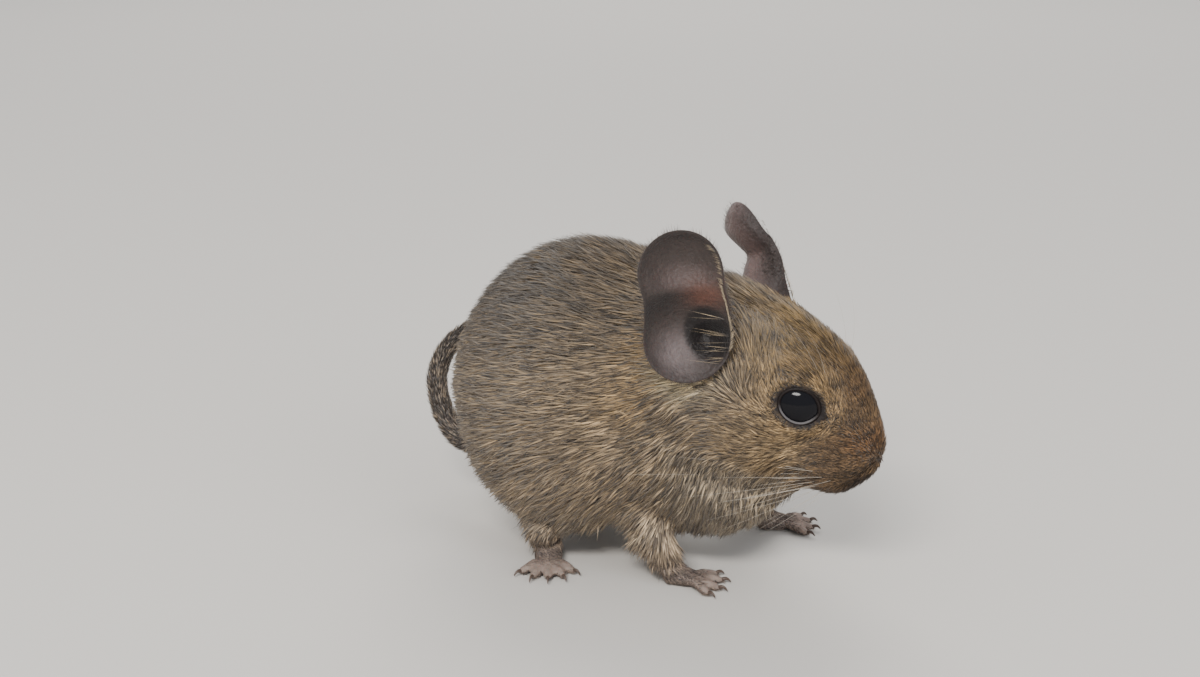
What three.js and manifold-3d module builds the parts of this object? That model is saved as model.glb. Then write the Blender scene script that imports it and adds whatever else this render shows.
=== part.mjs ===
// A life-size young degu, crouched on its four feet with its head turned a little to its right.
// Lengths are millimetres. +X points forward along the body, +Y to the animal's left and +Z up, and
// the floor is at Z = 0. The body is one blended form, drawn from named soft masses and parted with
// thin cuts where a person would name its parts. Ears, eyes, legs, feet and tail are set into it.

import * as THREE from "three";
import { mergeVertices } from "three/addons/utils/BufferGeometryUtils.js";
import Module from "manifold-3d";

const wasm = await Module();
wasm.setup();

const at = (x, y, z) => new THREE.Vector3(x, y, z);
const degrees = THREE.MathUtils.degToRad;
const mix = THREE.MathUtils.lerp;
const smooth = THREE.MathUtils.smoothstep;

// Clearance between parts that meet
const GAP = 0.3;

// Where the head sits, and how it is turned
const HEAD_CENTRE = at(17.2, -5.2, 31.4);
const HEAD_YAW = -10;
const HEAD_PITCH = 18;

// The eye, in the head's own frame: x towards the nose, y to the left, z up
const EYE_RADIUS = 4.2;
const EYE_PLACE = at(6.0, 5.7, 2.2);
const EYE_AXIS = at(0.34, 0.9, 0.2).normalize();
const EYE_OPENING = { wide: 3.75, tall: 2.85, slant: -14, sharpness: 1.25 };
const LID_THICKNESS = 0.65;

// The ears. Each is a sheet with two shallow bowls, one above the other, and the ear canal low at the
// front. Places are in the ear's own plane: x towards the front edge, y up, from the canal. The
// outline runs round two circles and the ellipses that fill its front and rear edges. The ears turn on
// their own: the left one is laid further back, with its rear edge cupped forward.
const EARS = {
  right: {
    place: at(-6.7, -12.5, 6.2),
    facing: at(0.42, -0.84, 0.3),
    up: at(-0.34, -0.1, 0.93),
    top: { x: -3.7, y: 12.3, radius: 5.9 },
    cup: 0,
  },
  left: {
    place: at(-5.6, 12.5, 5.9),
    facing: at(0.4, 0.84, 0.3),
    up: at(-0.6, 0.06, 0.8),
    top: { x: -4.4, y: 13.0, radius: 5.0 },
    cup: 0.16,
  },
};
const EAR_MIDDLE = at(-2.2, 5.2, 0);
const EAR_BOTTOM = { x: -3.3, y: 1.7, radius: 6.1 };
const EAR_EDGES = [
  { x: -1.0, y: 5.6, wide: 3.9, tall: 7.4 },
  { x: -5.0, y: 6.8, wide: 4.0, tall: 5.6 },
];
const EAR_BOWLS = [
  { x: -3.6, y: 13.6, radius: 5.4, depth: 2.4 },
  { x: -3.6, y: 3.2, radius: 7.0, depth: 3.8 },
];
const EAR_CANAL = { x: -0.5, y: 1.2, radius: 3.3, depth: 4.4 };
const EAR_CUP = { from: -1.5, low: 9, high: 14 };
const EAR_THICKNESS = 0.66;
const EAR_ROOT = { inner: 1.5, outer: 6.5, thickness: 5.2 };

// The tail, from its root under the rump round to the animal's left side
const TAIL_PATH = [
  at(-29, 1.5, 13.5),
  at(-36.5, 3.2, 12.6),
  at(-41.5, 6.5, 15.6),
  at(-44.3, 10.5, 20.2),
  at(-43.9, 15.5, 24.6),
  at(-39.5, 21, 27.4),
  at(-31, 25.2, 27.6),
  at(-20.5, 27, 25.8),
  at(-10, 27, 23.5),
];
const TAIL_RADII = [2.3, 2.0, 1.8, 1.65, 1.5, 1.4, 1.3, 1.15, 0.9];
const TAIL_CUTS = [0.38, 0.7];
const TUFT = { locks: 13, from: 0.8, length: 9, root: 0.75, flat: 0.6, lean: 0.34 };

// Feet. Toes fan out from the knuckles: spread in degrees and offset across the foot as a share.
const TOE_RADIUS = 0.78;
const CLAW_RADIUS = 0.36;
const CLAW_LENGTH = 1.7;
const FORE_TOES = [
  { spread: 34, offset: 1.0, share: 0.82 },
  { spread: 12, offset: 0.36, share: 1.0 },
  { spread: -10, offset: -0.34, share: 1.0 },
  { spread: -34, offset: -1.0, share: 0.84 },
];
const HIND_TOES = [
  { spread: 46, offset: 1.0, share: 0.72 },
  { spread: 20, offset: 0.5, share: 0.96 },
  { spread: 0, offset: 0, share: 1.0 },
  { spread: -20, offset: -0.5, share: 0.96 },
  { spread: -48, offset: -1.0, share: 0.74 },
];
const FORE_SOLE = { radii: [1.7, 1.9, 2.0], across: 1.6, toeLength: 3.8 };
const HIND_SOLE = { radii: [2.0, 2.3, 2.2], across: 2.0, toeLength: 4.2 };

// The legs as they stand, from the body down. The left ones rest in the same crouch as the right.
const LEGS = {
  right: {
    sign: -1,
    forearm: [at(0.5, -9.5, 14), at(1.0, -11.4, 8.2), at(4.9, -12.3, 1.5)],
    forefoot: [at(2.9, -12.5, 1.1), at(5.4, -12.3, 1.3), at(8.1, -12.2, 0.9)],
    shank: [at(-13.5, -11, 14), at(-16.2, -11.6, 8), at(-17.1, -9.4, 1.6)],
    hindfoot: [at(-18.2, -6.0, 1.1), at(-16.4, -10.5, 1.5), at(-15.2, -14.2, 0.9)],
  },
  left: {
    sign: 1,
    forearm: [at(8.5, 7.0, 14), at(10.4, 9.4, 8.2), at(14.4, 10.9, 1.5)],
    forefoot: [at(12.5, 10.3, 1.1), at(15.1, 11.2, 1.3), at(17.7, 12.1, 0.9)],
    shank: [at(-13, 11, 14), at(-16.6, 10.6, 8), at(-17.4, 8.9, 1.6)],
    hindfoot: [at(-20.0, 7.0, 1.1), at(-15.6, 10.2, 1.5), at(-12.2, 12.4, 0.9)],
  },
};
const FOREARM_RADII = [4.4, 3.4, 2.2];
const SHANK_RADII = [4.6, 3.5, 2.3];

// Turns a closed geometry into a solid, with its faces pointing out.
function solidOf(geometry) {
  const bare = geometry.index ? geometry.toNonIndexed() : geometry.clone();
  const points = new THREE.BufferGeometry().setAttribute("position", bare.getAttribute("position"));
  const merged = mergeVertices(points, 1e-4);
  const corners = merged.index.array;
  const triangles = [];
  for (let i = 0; i < corners.length; i += 3) {
    const [a, b, c] = [corners[i], corners[i + 1], corners[i + 2]];
    if (a !== b && b !== c && c !== a) triangles.push(a, b, c);
  }
  const vertProperties = merged.attributes.position.array;
  const make = (triVerts) => new wasm.Manifold(new wasm.Mesh({ numProp: 3, vertProperties, triVerts }));
  const made = make(new Uint32Array(triangles));
  if (made.volume() >= 0) return made;
  return make(new Uint32Array(triangles.reverse()));
}

// The piece of a solid that has the largest closed surface. It drops loose scraps.
function largest(solid) {
  return solid.decompose().reduce((best, piece) => (piece.volume() > best.volume() ? piece : best));
}

const joined = (solids) => solids.reduce((sum, solid) => sum.add(solid));

// A named mesh for one solid.
function meshOf(name, solid, material) {
  const mesh = largest(solid).getMesh();
  const points = new Float32Array(mesh.numVert * 3);
  for (let i = 0; i < mesh.numVert; i++) {
    points.set(mesh.vertProperties.subarray(i * mesh.numProp, i * mesh.numProp + 3), i * 3);
  }
  const geometry = new THREE.BufferGeometry();
  geometry.setAttribute("position", new THREE.BufferAttribute(points, 3));
  geometry.setIndex(new THREE.BufferAttribute(new Uint32Array(mesh.triVerts), 1));
  geometry.computeVertexNormals();
  const made = new THREE.Mesh(geometry, material);
  made.name = name;
  return made;
}

// A turn about x, y and z, in degrees
const turned = (turn) =>
  new THREE.Quaternion().setFromEuler(new THREE.Euler(degrees(turn.x), degrees(turn.y), degrees(turn.z)));

// One soft mass: an ellipsoid. Its value is about the distance to its surface, negative inside.
function mass(centre, radii, turn = at(0, 0, 0), frame = new THREE.Matrix4()) {
  const placed = new THREE.Matrix4().compose(centre, turned(turn), at(1, 1, 1)).premultiply(frame).invert();
  return (point) => {
    const local = point.clone().applyMatrix4(placed).divide(radii);
    const reach = local.length();
    const slope = local.divide(radii).length();
    return slope > 1e-9 ? (reach * (reach - 1)) / slope : -Math.min(radii.x, radii.y, radii.z);
  };
}

// Masses run together: the creases between them are filled over a width of softness.
function blended(masses, softness) {
  return (point) =>
    masses
      .map((one) => one(point))
      .reduce((a, b) => {
        const near = Math.max(softness - Math.abs(a - b), 0) / softness;
        return Math.min(a, b) - (near * near * softness) / 4;
      });
}

// Distance from a start inside a form, along a direction, to where the form's surface lies.
function reachOf(form, start, direction, grow = 0) {
  const COARSE = 0.5;
  const FARTHEST = 70;
  const probe = at(0, 0, 0);
  const value = (t) => form(probe.copy(start).addScaledVector(direction, t)) - grow;
  let outside = COARSE;
  while (value(outside) < 0 && outside < FARTHEST) outside += COARSE;
  let inside = outside - COARSE;
  for (let i = 0; i < 16; i++) {
    const middle = (inside + outside) / 2;
    if (value(middle) < 0) inside = middle;
    else outside = middle;
  }
  return outside;
}

// A ball drawn out along a spine until every point of it lies on the form's surface.
function drawnOver(form, rear, front, around, along, grow = 0) {
  const geometry = new THREE.SphereGeometry(1, around, along);
  const axis = front.clone().sub(rear).normalize();
  const side = at(0, 1, 0).addScaledVector(axis, -axis.y).normalize();
  const up = side.clone().cross(axis);
  const ball = geometry.getAttribute("position");
  for (let i = 0; i < ball.count; i++) {
    const x = ball.getX(i);
    const y = ball.getY(i);
    const z = ball.getZ(i);
    const start = rear.clone().lerp(front, (1 + y) / 2);
    const direction = axis.clone().multiplyScalar(y).addScaledVector(side, x).addScaledVector(up, z);
    const reach = reachOf(form, start, direction.normalize(), grow);
    start.addScaledVector(direction, reach);
    ball.setXYZ(i, start.x, start.y, start.z);
  }
  return solidOf(geometry);
}

// A rounded, tapered limb along a smooth path. widths holds the radius at each point of the path, and
// flat is its thickness as a share of its width. Rings near each end round it off.
function limb(path, widths, options = {}) {
  const { sides = 12, steps = 12, flat = 1, across = at(0, 1, 0), grow = 0, rings = [0.12, 0.4] } = options;
  const curve = new THREE.CatmullRomCurve3(path, false, "centripetal");
  const spans = path.length - 1;
  const radiusAt = (t) => {
    const i = Math.min(Math.floor(t * spans), spans - 1);
    return mix(widths[i], widths[i + 1], smooth(t * spans - i, 0, 1)) + grow;
  };
  const length = curve.getLength();
  const capStart = Math.min(radiusAt(0) / length, 0.45);
  const capEnd = Math.min(radiusAt(1) / length, 0.45);
  const heights = new Set();
  for (let i = 0; i <= steps; i++) heights.add(i / steps);
  for (const share of rings) {
    heights.add(capStart * share);
    heights.add(1 - capEnd * share);
  }
  const profile = [...heights]
    .sort((a, b) => a - b)
    .map((t) => {
      const cap = Math.max(0, 1 - t / capStart, 1 - (1 - t) / capEnd);
      return new THREE.Vector2(Math.sqrt(1 - cap * cap), t);
    });
  const geometry = new THREE.LatheGeometry(profile, sides);
  const points = geometry.getAttribute("position");
  for (let i = 0; i < points.count; i++) {
    const t = THREE.MathUtils.clamp(points.getY(i), 0, 1);
    const tangent = curve.getTangent(t);
    const wide = across.clone().addScaledVector(tangent, -across.dot(tangent)).normalize();
    const thick = wide.clone().cross(tangent);
    const centre = curve.getPoint(t);
    centre.addScaledVector(wide, points.getX(i) * radiusAt(t));
    centre.addScaledVector(thick, points.getZ(i) * radiusAt(t) * flat);
    points.setXYZ(i, centre.x, centre.y, centre.z);
  }
  return solidOf(geometry);
}

// A large box with a face on the plane through a point. It fills the side that the normal points to.
function sideOf(point, normal) {
  const SIZE = 160;
  const box = new THREE.BoxGeometry(SIZE, SIZE, SIZE);
  box.translate(0, 0, SIZE / 2);
  box.applyQuaternion(new THREE.Quaternion().setFromUnitVectors(at(0, 0, 1), normal.clone().normalize()));
  box.translate(point.x, point.y, point.z);
  return solidOf(box);
}

// A closed ellipsoid, in a frame of its own where one is given.
function ellipsoid(centre, radii, options = {}) {
  const { turn = at(0, 0, 0), grow = 0, frame = new THREE.Matrix4(), detail = 18 } = options;
  const geometry = new THREE.SphereGeometry(1, detail, Math.round(detail * 0.7));
  geometry.scale(radii.x + grow, radii.y + grow, radii.z + grow);
  geometry.applyQuaternion(turned(turn));
  geometry.translate(centre.x, centre.y, centre.z);
  geometry.applyMatrix4(frame);
  return solidOf(geometry);
}

const mirrored = (v, sign) => at(v.x, v.y * sign, v.z);

// The head's frame
const headFrame = new THREE.Matrix4()
  .makeTranslation(HEAD_CENTRE.x, HEAD_CENTRE.y, HEAD_CENTRE.z)
  .multiply(new THREE.Matrix4().makeRotationZ(degrees(HEAD_YAW)))
  .multiply(new THREE.Matrix4().makeRotationY(degrees(HEAD_PITCH)));
const inHead = (x, y, z) => at(x, y, z).applyMatrix4(headFrame);

// A mass of the head, and its mirror image where it lies to one side
const headMass = (centre, radii, turn = at(0, 0, 0)) => mass(centre, radii, turn, headFrame);
const headPair = (centre, radii, turn = at(0, 0, 0)) => [
  headMass(centre, radii, turn),
  headMass(mirrored(centre, -1), radii, at(-turn.x, turn.y, -turn.z)),
];

// The head: skull, forehead, cheeks, muzzle, nose, upper lips and chin
const headForm = blended(
  [
    headMass(at(-5, 0, 1.2), at(13.5, 10.7, 10.4)),
    headMass(at(3.6, 0, 1.8), at(12.0, 8.0, 9.2), at(0, 14, 0)),
    ...headPair(at(-1.5, 6.2, -4.2), at(10.0, 5.8, 7.2), at(0, 8, 14)),
    headMass(at(9.6, 0, -2.6), at(9.0, 6.4, 7.4), at(0, 14, 0)),
    headMass(at(14.6, 0, -4.0), at(3.9, 4.0, 4.4)),
    ...headPair(at(12.0, 2.8, -6.8), at(4.6, 3.2, 3.4), at(0, 10, 12)),
    headMass(at(8.0, 0, -9.2), at(5.8, 4.2, 3.2), at(0, 4, 0)),
  ],
  3,
);

// The trunk: barrel, rump, back, shoulders, chest and thighs
const trunkForm = blended(
  [
    mass(at(-6, 0, 27), at(25, 16.6, 20.5), at(0, -4, 0)),
    mass(at(-16.5, 0, 25), at(17.6, 16.8, 19.6), at(0, 12, 0)),
    mass(at(-13, 0, 31), at(16.5, 14.0, 18)),
    mass(at(8, -2, 27), at(14, 12.2, 16), at(0, 10, -10)),
    mass(at(9, -3, 16.6), at(12, 11.5, 9.5)),
    mass(at(-14, -10.5, 18), at(12.5, 7.5, 11.2), at(0, 24, 0)),
    mass(at(-14, 10.5, 18), at(12.5, 7.5, 11.2), at(0, 24, 0)),
  ],
  6,
);
const wholeForm = blended([trunkForm, headForm], 6);

// The ends of the two spines that the trunk and the head are drawn out from
const RUMP = at(-16, 0, 26);
const CHEST = at(4, -1, 26);
const NAPE = at(4, -3, 30);
const SNOUT = inHead(9, 0, -2.4);
const trunkDrawn = (grow) => drawnOver(wholeForm, RUMP, CHEST, 34, 24, grow);
const headDrawn = (grow) => drawnOver(wholeForm, NAPE, SNOUT, 34, 28, grow);

// Rounded cuts that part the head from the neck, the neck from the torso, and each leg from the torso
const headCut = (grow) => ellipsoid(at(7, 0, -1), at(19.5, 22, 15), { grow, frame: headFrame, detail: 20 });
const neckCut = (grow) => ellipsoid(at(5, 0, 0), at(22.5, 26, 20), { grow, frame: headFrame, detail: 20 });
const haunchCut = (sign, grow) =>
  ellipsoid(at(-14, 15.5 * sign, 17), at(13, 10.5, 14.5), { turn: at(0, 24, 0), grow, detail: 18 });
const shoulderCut = (sign, grow) =>
  ellipsoid(at(4.5, 12.5 * sign - 2, 18.5), at(9, 8.5, 10.5), { turn: at(0, -12, 0), grow, detail: 16 });

// The eyes: balls sunk in the head
const eyeBall = (sign, grow) => {
  const radii = at(EYE_RADIUS, EYE_RADIUS, EYE_RADIUS);
  return ellipsoid(mirrored(EYE_PLACE, sign), radii, { grow, frame: headFrame, detail: 18 });
};

// The lids: a shell over the eyeball. Its opening is pointed at both ends and slants down to the front.
function lids(sign) {
  const out = mirrored(EYE_AXIS, sign);
  const along = at(1, 0, 0).addScaledVector(out, -out.x).normalize();
  const above = out.clone().cross(along).multiplyScalar(-sign);
  const slant = degrees(EYE_OPENING.slant);
  const opening = new THREE.CylinderGeometry(1, 1, EYE_RADIUS * 2, 18);
  const points = opening.getAttribute("position");
  for (let i = 0; i < points.count; i++) {
    const sine = points.getZ(i);
    const forward = EYE_OPENING.wide * points.getX(i);
    const upward = EYE_OPENING.tall * Math.sign(sine) * Math.abs(sine) ** EYE_OPENING.sharpness;
    const point = mirrored(EYE_PLACE, sign)
      .addScaledVector(along, forward * Math.cos(slant) - upward * Math.sin(slant))
      .addScaledVector(above, forward * Math.sin(slant) + upward * Math.cos(slant))
      .addScaledVector(out, EYE_RADIUS + points.getY(i))
      .applyMatrix4(headFrame);
    points.setXYZ(i, point.x, point.y, point.z);
  }
  return eyeBall(sign, GAP + LID_THICKNESS).subtract(solidOf(opening));
}

// A groove that follows the head's surface, through places seen from a point inside the muzzle.
// Each place is an angle round to the side and an angle down from level, in degrees.
function groove(inside, places, width) {
  const start = inHead(inside.x, inside.y, inside.z);
  const path = places.map(({ round, down }) => {
    const direction = at(
      Math.cos(degrees(down)) * Math.cos(degrees(round)),
      Math.cos(degrees(down)) * Math.sin(degrees(round)),
      -Math.sin(degrees(down)),
    ).transformDirection(headFrame);
    return start.clone().addScaledVector(direction, reachOf(headForm, start, direction));
  });
  const widths = path.map((_, i) => (i === 0 || i === path.length - 1 ? width * 0.5 : width));
  return limb(path, widths, { sides: 5, steps: 8, across: at(0, 0, 1), rings: [] });
}
const MUZZLE_INSIDE = at(10.5, 0, -5.6);
const mouth = groove(
  MUZZLE_INSIDE,
  [-74, -50, -25, 0, 25, 50, 74].map((round) => ({ round, down: 40 + Math.abs(round) * 0.06 })),
  0.42,
);
const philtrum = groove(
  MUZZLE_INSIDE,
  [2, 20, 38].map((down) => ({ round: 0, down })),
  0.34,
);
const nostril = (sign) =>
  ellipsoid(at(17.9, 1.55 * sign, -2.9), at(1.3, 0.55, 0.8), {
    turn: at(25 * sign, 0, -38 * sign),
    frame: headFrame,
    detail: 10,
  });

// An ear: a ball pressed into a sheet. Its front face follows the two bowls and the canal. Its back
// face lies a thickness behind, and swells into a root round the canal. Below its top the rear edge
// may be rolled forward, on a curve of the cup's bend.
function ear(sign, pose) {
  const roundOf = ({ x, y, radius }) => (p) => Math.hypot(p.x - x, p.y - y) - radius;
  const ovalOf = ({ x, y, wide, tall }) => (p) => (Math.hypot((p.x - x) / wide, (p.y - y) / tall) - 1) * wide;
  const outline = blended([roundOf(pose.top), roundOf(EAR_BOTTOM), ...EAR_EDGES.map(ovalOf)], 1.6);
  const sunk = (bowl, p) => -bowl.depth * (1 - (roundOf(bowl)(p) / bowl.radius + 1) ** 2);
  const rolled = (p) => {
    const bend = pose.cup * (1 - smooth(p.y, EAR_CUP.low, EAR_CUP.high));
    const past = Math.max(0, EAR_CUP.from - p.x);
    if (bend * past === 0) return { x: p.x, height: 0 };
    const x = EAR_CUP.from - Math.sin(bend * past) / bend;
    return { x, height: (1 - Math.cos(bend * past)) / bend };
  };
  const up = pose.up.clone().normalize();
  const facing = pose.facing.clone().addScaledVector(up, -pose.facing.dot(up)).normalize();
  const front = up.clone().cross(facing).multiplyScalar(-sign);
  const geometry = new THREE.SphereGeometry(1, 32, 18);
  const ball = geometry.getAttribute("position");
  for (let i = 0; i < ball.count; i++) {
    const direction = at(ball.getX(i), ball.getZ(i), 0);
    const share = Math.min(1, direction.length());
    const place = EAR_MIDDLE.clone();
    if (share > 1e-6) {
      direction.normalize();
      place.addScaledVector(direction, share * reachOf(outline, EAR_MIDDLE, direction));
    }
    const depth = Math.min(0, ...[...EAR_BOWLS, EAR_CANAL].map((bowl) => sunk(bowl, place)));
    const { x, height } = rolled(place);
    const fromCanal = Math.hypot(place.x, place.y);
    const root = (1 - smooth(fromCanal, EAR_ROOT.inner, EAR_ROOT.outer)) * EAR_ROOT.thickness;
    const behind = ball.getY(i) < 0;
    const edge = Math.min(1, Math.abs(ball.getY(i)) * 4);
    const offset = behind ? -edge * (EAR_THICKNESS / 2 + root) : (edge * EAR_THICKNESS) / 2;
    const point = pose.place
      .clone()
      .addScaledVector(front, x)
      .addScaledVector(up, place.y)
      .addScaledVector(facing, height + depth + offset)
      .applyMatrix4(headFrame);
    ball.setXYZ(i, point.x, point.y, point.z);
  }
  return solidOf(geometry);
}

// A foot on the floor: a sole from heel to knuckles, toes that fan out from it, and a claw on each
function foot(path, sole, toes) {
  const knuckles = path[path.length - 1];
  const heading = knuckles.clone().sub(path[0]).setZ(0).normalize();
  const sideways = at(-heading.y, heading.x, 0);
  const pieces = [limb(path, sole.radii, { sides: 10, steps: 5, flat: 0.75, across: sideways })];
  for (const { spread, offset, share } of toes) {
    const direction = heading.clone().applyAxisAngle(at(0, 0, 1), degrees(spread));
    const base = knuckles.clone().addScaledVector(sideways, offset * sole.across);
    const alongToe = (length, height) => base.clone().addScaledVector(direction, length).setZ(height);
    const length = sole.toeLength * share;
    const toe = [
      alongToe(-0.5, TOE_RADIUS * 1.4),
      alongToe(length * 0.5, TOE_RADIUS * 1.4),
      alongToe(length, TOE_RADIUS * 0.6),
    ];
    const widths = [1.15, 1, 0.95].map((k) => k * TOE_RADIUS);
    pieces.push(limb(toe, widths, { sides: 6, steps: 3, across: sideways, rings: [0.3] }));
    const claw = [
      alongToe(length - 0.5, TOE_RADIUS),
      alongToe(length + CLAW_LENGTH * 0.5, TOE_RADIUS * 1.15),
      alongToe(length + CLAW_LENGTH, CLAW_RADIUS * 0.5),
    ];
    const taper = [1, 0.85, 0.4].map((k) => k * CLAW_RADIUS);
    pieces.push(limb(claw, taper, { sides: 4, steps: 2, across: sideways, rings: [] }));
  }
  return joined(pieces).subtract(sideOf(at(0, 0, 0), at(0, 0, -1)));
}

// The tail, whole, with its brush of tapered locks at the end
function tail() {
  const curve = new THREE.CatmullRomCurve3(TAIL_PATH, false, "centripetal");
  const pieces = [limb(TAIL_PATH, TAIL_RADII, { sides: 8, steps: 20, across: at(0, 0, 1), rings: [0.25] })];
  for (let i = 0; i < TUFT.locks; i++) {
    const share = i / (TUFT.locks - 1);
    const t = mix(TUFT.from, 0.99, share);
    const around = i * Math.PI * (3 - Math.sqrt(5));
    const tangent = curve.getTangent(t);
    const wide = at(0, 0, 1).addScaledVector(tangent, -tangent.z).normalize();
    const outward = wide.clone().applyAxisAngle(tangent, around);
    const root = curve.getPoint(t);
    const lock = [0, 0.5, 1].map((k) =>
      root
        .clone()
        .addScaledVector(tangent, TUFT.length * k)
        .addScaledVector(outward, 0.3 + TUFT.length * TUFT.lean * k * (1 - 0.6 * k) * (1 - 0.6 * share)),
    );
    const widths = [1, 0.8, 0.3].map((k) => k * TUFT.root);
    pieces.push(limb(lock, widths, { sides: 5, steps: 3, flat: TUFT.flat, across: outward, rings: [] }));
  }
  return joined(pieces);
}

const materials = {
  coat: new THREE.MeshStandardMaterial({ color: 0x8a7a63, roughness: 0.95, metalness: 0 }),
  ear: new THREE.MeshStandardMaterial({ color: 0x5a4a48, roughness: 0.6, metalness: 0 }),
  eye: new THREE.MeshStandardMaterial({ color: 0x0b0b0e, roughness: 0.08, metalness: 0 }),
  foot: new THREE.MeshStandardMaterial({ color: 0x9c8880, roughness: 0.75, metalness: 0 }),
  tail: new THREE.MeshStandardMaterial({ color: 0x4c443e, roughness: 0.9, metalness: 0 }),
};
const degu = new THREE.Group();
const add = (name, solid, material) => degu.add(meshOf(name, solid, material));

// The body and head, whole, and grown by the clearance where other parts are set on them
const trunk = trunkDrawn(0);
const trunkRoom = trunkDrawn(GAP);
const head = headDrawn(0);
const headRoom = headDrawn(GAP);

// Torso, legs and feet
let torso = trunk.subtract(neckCut(GAP));
const behindNeck = torso;
for (const [side, { sign, forearm, forefoot, shank, hindfoot }] of Object.entries(LEGS)) {
  const foreLimb = (grow) => limb(forearm, FOREARM_RADII, { sides: 12, steps: 5, grow });
  const hindLimb = (grow) => limb(shank, SHANK_RADII, { sides: 12, steps: 5, grow });
  const shoulder = behindNeck.intersect(shoulderCut(sign, 0));
  const haunch = behindNeck.intersect(haunchCut(sign, 0));
  const hindRoom = haunchCut(sign, GAP).add(hindLimb(GAP));
  add("foreleg_" + side, shoulder.add(foreLimb(0)).subtract(hindRoom), materials.coat);
  add("hindleg_" + side, haunch.add(hindLimb(0)), materials.coat);
  const fore = foot(forefoot, FORE_SOLE, FORE_TOES).subtract(foreLimb(GAP)).subtract(trunkRoom);
  add("forefoot_" + side, fore, materials.foot);
  const hind = foot(hindfoot, HIND_SOLE, HIND_TOES).subtract(hindLimb(GAP)).subtract(trunkRoom);
  add("hindfoot_" + side, hind, materials.foot);
  torso = torso.subtract(hindRoom).subtract(shoulderCut(sign, GAP)).subtract(foreLimb(GAP));
}
add("torso", torso, materials.coat);
add("neck", trunk.add(head).intersect(neckCut(0)).subtract(headCut(GAP)), materials.coat);

// Head with its lids, mouth and nostrils, and the eyes and ears set on it
const dressedHead = joined([head.intersect(headCut(0)), lids(1), lids(-1)]);
const openings = joined([eyeBall(1, GAP), eyeBall(-1, GAP), mouth, philtrum, nostril(1), nostril(-1)]);
add("head", dressedHead.subtract(openings), materials.coat);
for (const [side, { sign }] of Object.entries(LEGS)) {
  add("eye_" + side, eyeBall(sign, 0), materials.eye);
  add("ear_" + side, ear(sign, EARS[side]).subtract(headRoom).subtract(trunkRoom), materials.ear);
}

// The tail, parted in three lengths
const tailCurve = new THREE.CatmullRomCurve3(TAIL_PATH, false, "centripetal");
const tailCut = (t, direction, gap) => {
  const tangent = tailCurve.getTangent(t);
  return sideOf(tailCurve.getPoint(t).addScaledVector(tangent, gap), tangent.multiplyScalar(direction));
};
const wholeTail = tail().subtract(trunkRoom);
const [first, second] = TAIL_CUTS;
const pastFirst = wholeTail.intersect(tailCut(first, 1, GAP));
add("tail_base", wholeTail.intersect(tailCut(first, -1, 0)), materials.tail);
add("tail_middle", pastFirst.intersect(tailCut(second, -1, 0)), materials.tail);
add("tail_tip", wholeTail.intersect(tailCut(second, 1, GAP)), materials.tail);

// The origin is moved to the middle of the footprint, on the floor
const extent = new THREE.Box3().setFromObject(degu);
const middle = extent.getCenter(at(0, 0, 0));
degu.position.set(-middle.x, -middle.y, -extent.min.z);

export default degu;
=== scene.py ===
"""The looks of a young degu: one skin, a coat of modelled tufts, ears, eyes, claws, whiskers and tail.

Shapes are worked out with numpy in millimetres, in the design frame of the animal (x to the nose, y to
its left, z up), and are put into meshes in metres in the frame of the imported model.
"""
import logging
import math
from dataclasses import dataclass, field
from enum import Enum

import bpy
import numpy as np
from mathutils import Matrix, Vector


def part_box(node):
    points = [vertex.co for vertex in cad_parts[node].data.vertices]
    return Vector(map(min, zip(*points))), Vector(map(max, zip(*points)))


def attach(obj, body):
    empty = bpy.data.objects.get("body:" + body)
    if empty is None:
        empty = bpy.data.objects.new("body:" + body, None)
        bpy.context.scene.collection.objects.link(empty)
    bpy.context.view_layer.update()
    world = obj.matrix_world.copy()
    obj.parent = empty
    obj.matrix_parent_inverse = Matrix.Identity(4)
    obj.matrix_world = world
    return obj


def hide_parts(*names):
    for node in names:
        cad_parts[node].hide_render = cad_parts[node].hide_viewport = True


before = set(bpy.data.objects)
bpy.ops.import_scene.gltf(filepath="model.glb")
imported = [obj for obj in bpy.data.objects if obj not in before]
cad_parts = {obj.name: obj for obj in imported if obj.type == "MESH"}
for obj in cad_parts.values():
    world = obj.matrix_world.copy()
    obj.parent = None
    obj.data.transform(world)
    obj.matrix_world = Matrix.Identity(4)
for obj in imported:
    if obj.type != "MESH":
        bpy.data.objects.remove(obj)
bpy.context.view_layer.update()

MM = 0.001
SEED = 11
IMAGE_SIZE = (1200, 677)
SENSOR = 36.0
LOG = logging.getLogger("degu")


def unit(v: np.ndarray) -> np.ndarray:
    """Returns vectors scaled to length one, along the last axis."""
    return v / (np.linalg.norm(v, axis=-1, keepdims=True) + 1e-12)


def step(x: np.ndarray, low: float, high: float) -> np.ndarray:
    """Returns a smooth rise from 0 at low to 1 at high (low may be the larger)."""
    t = np.clip((x - low) / (high - low), 0.0, 1.0)
    return t * t * (3 - 2 * t)


def spot(
    u: np.ndarray,
    v: np.ndarray,
    centre: tuple[float, float],
    size: tuple[float, float],
) -> np.ndarray:
    """Works out a soft spot: e to the power of minus the squared gap, in sizes, from its centre.

    Args:
        u: places one way.
        v: places the other way.
        centre: the spot's centre both ways.
        size: how far it reaches both ways.

    Returns:
        Weights, 1 at the centre.
    """
    return np.exp(-(((u - centre[0]) / size[0]) ** 2) - ((v - centre[1]) / size[1]) ** 2)


def blend(a: np.ndarray, b: np.ndarray, weight: np.ndarray) -> np.ndarray:
    """Returns a where the weight is 0, b where it is 1, and a mix between."""
    return a * (1 - weight) + b * weight


def circle(angle: np.ndarray) -> np.ndarray:
    """Returns the places of angles on a circle of radius one, on a new last axis."""
    return np.stack([np.cos(angle), np.sin(angle)], -1)


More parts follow.
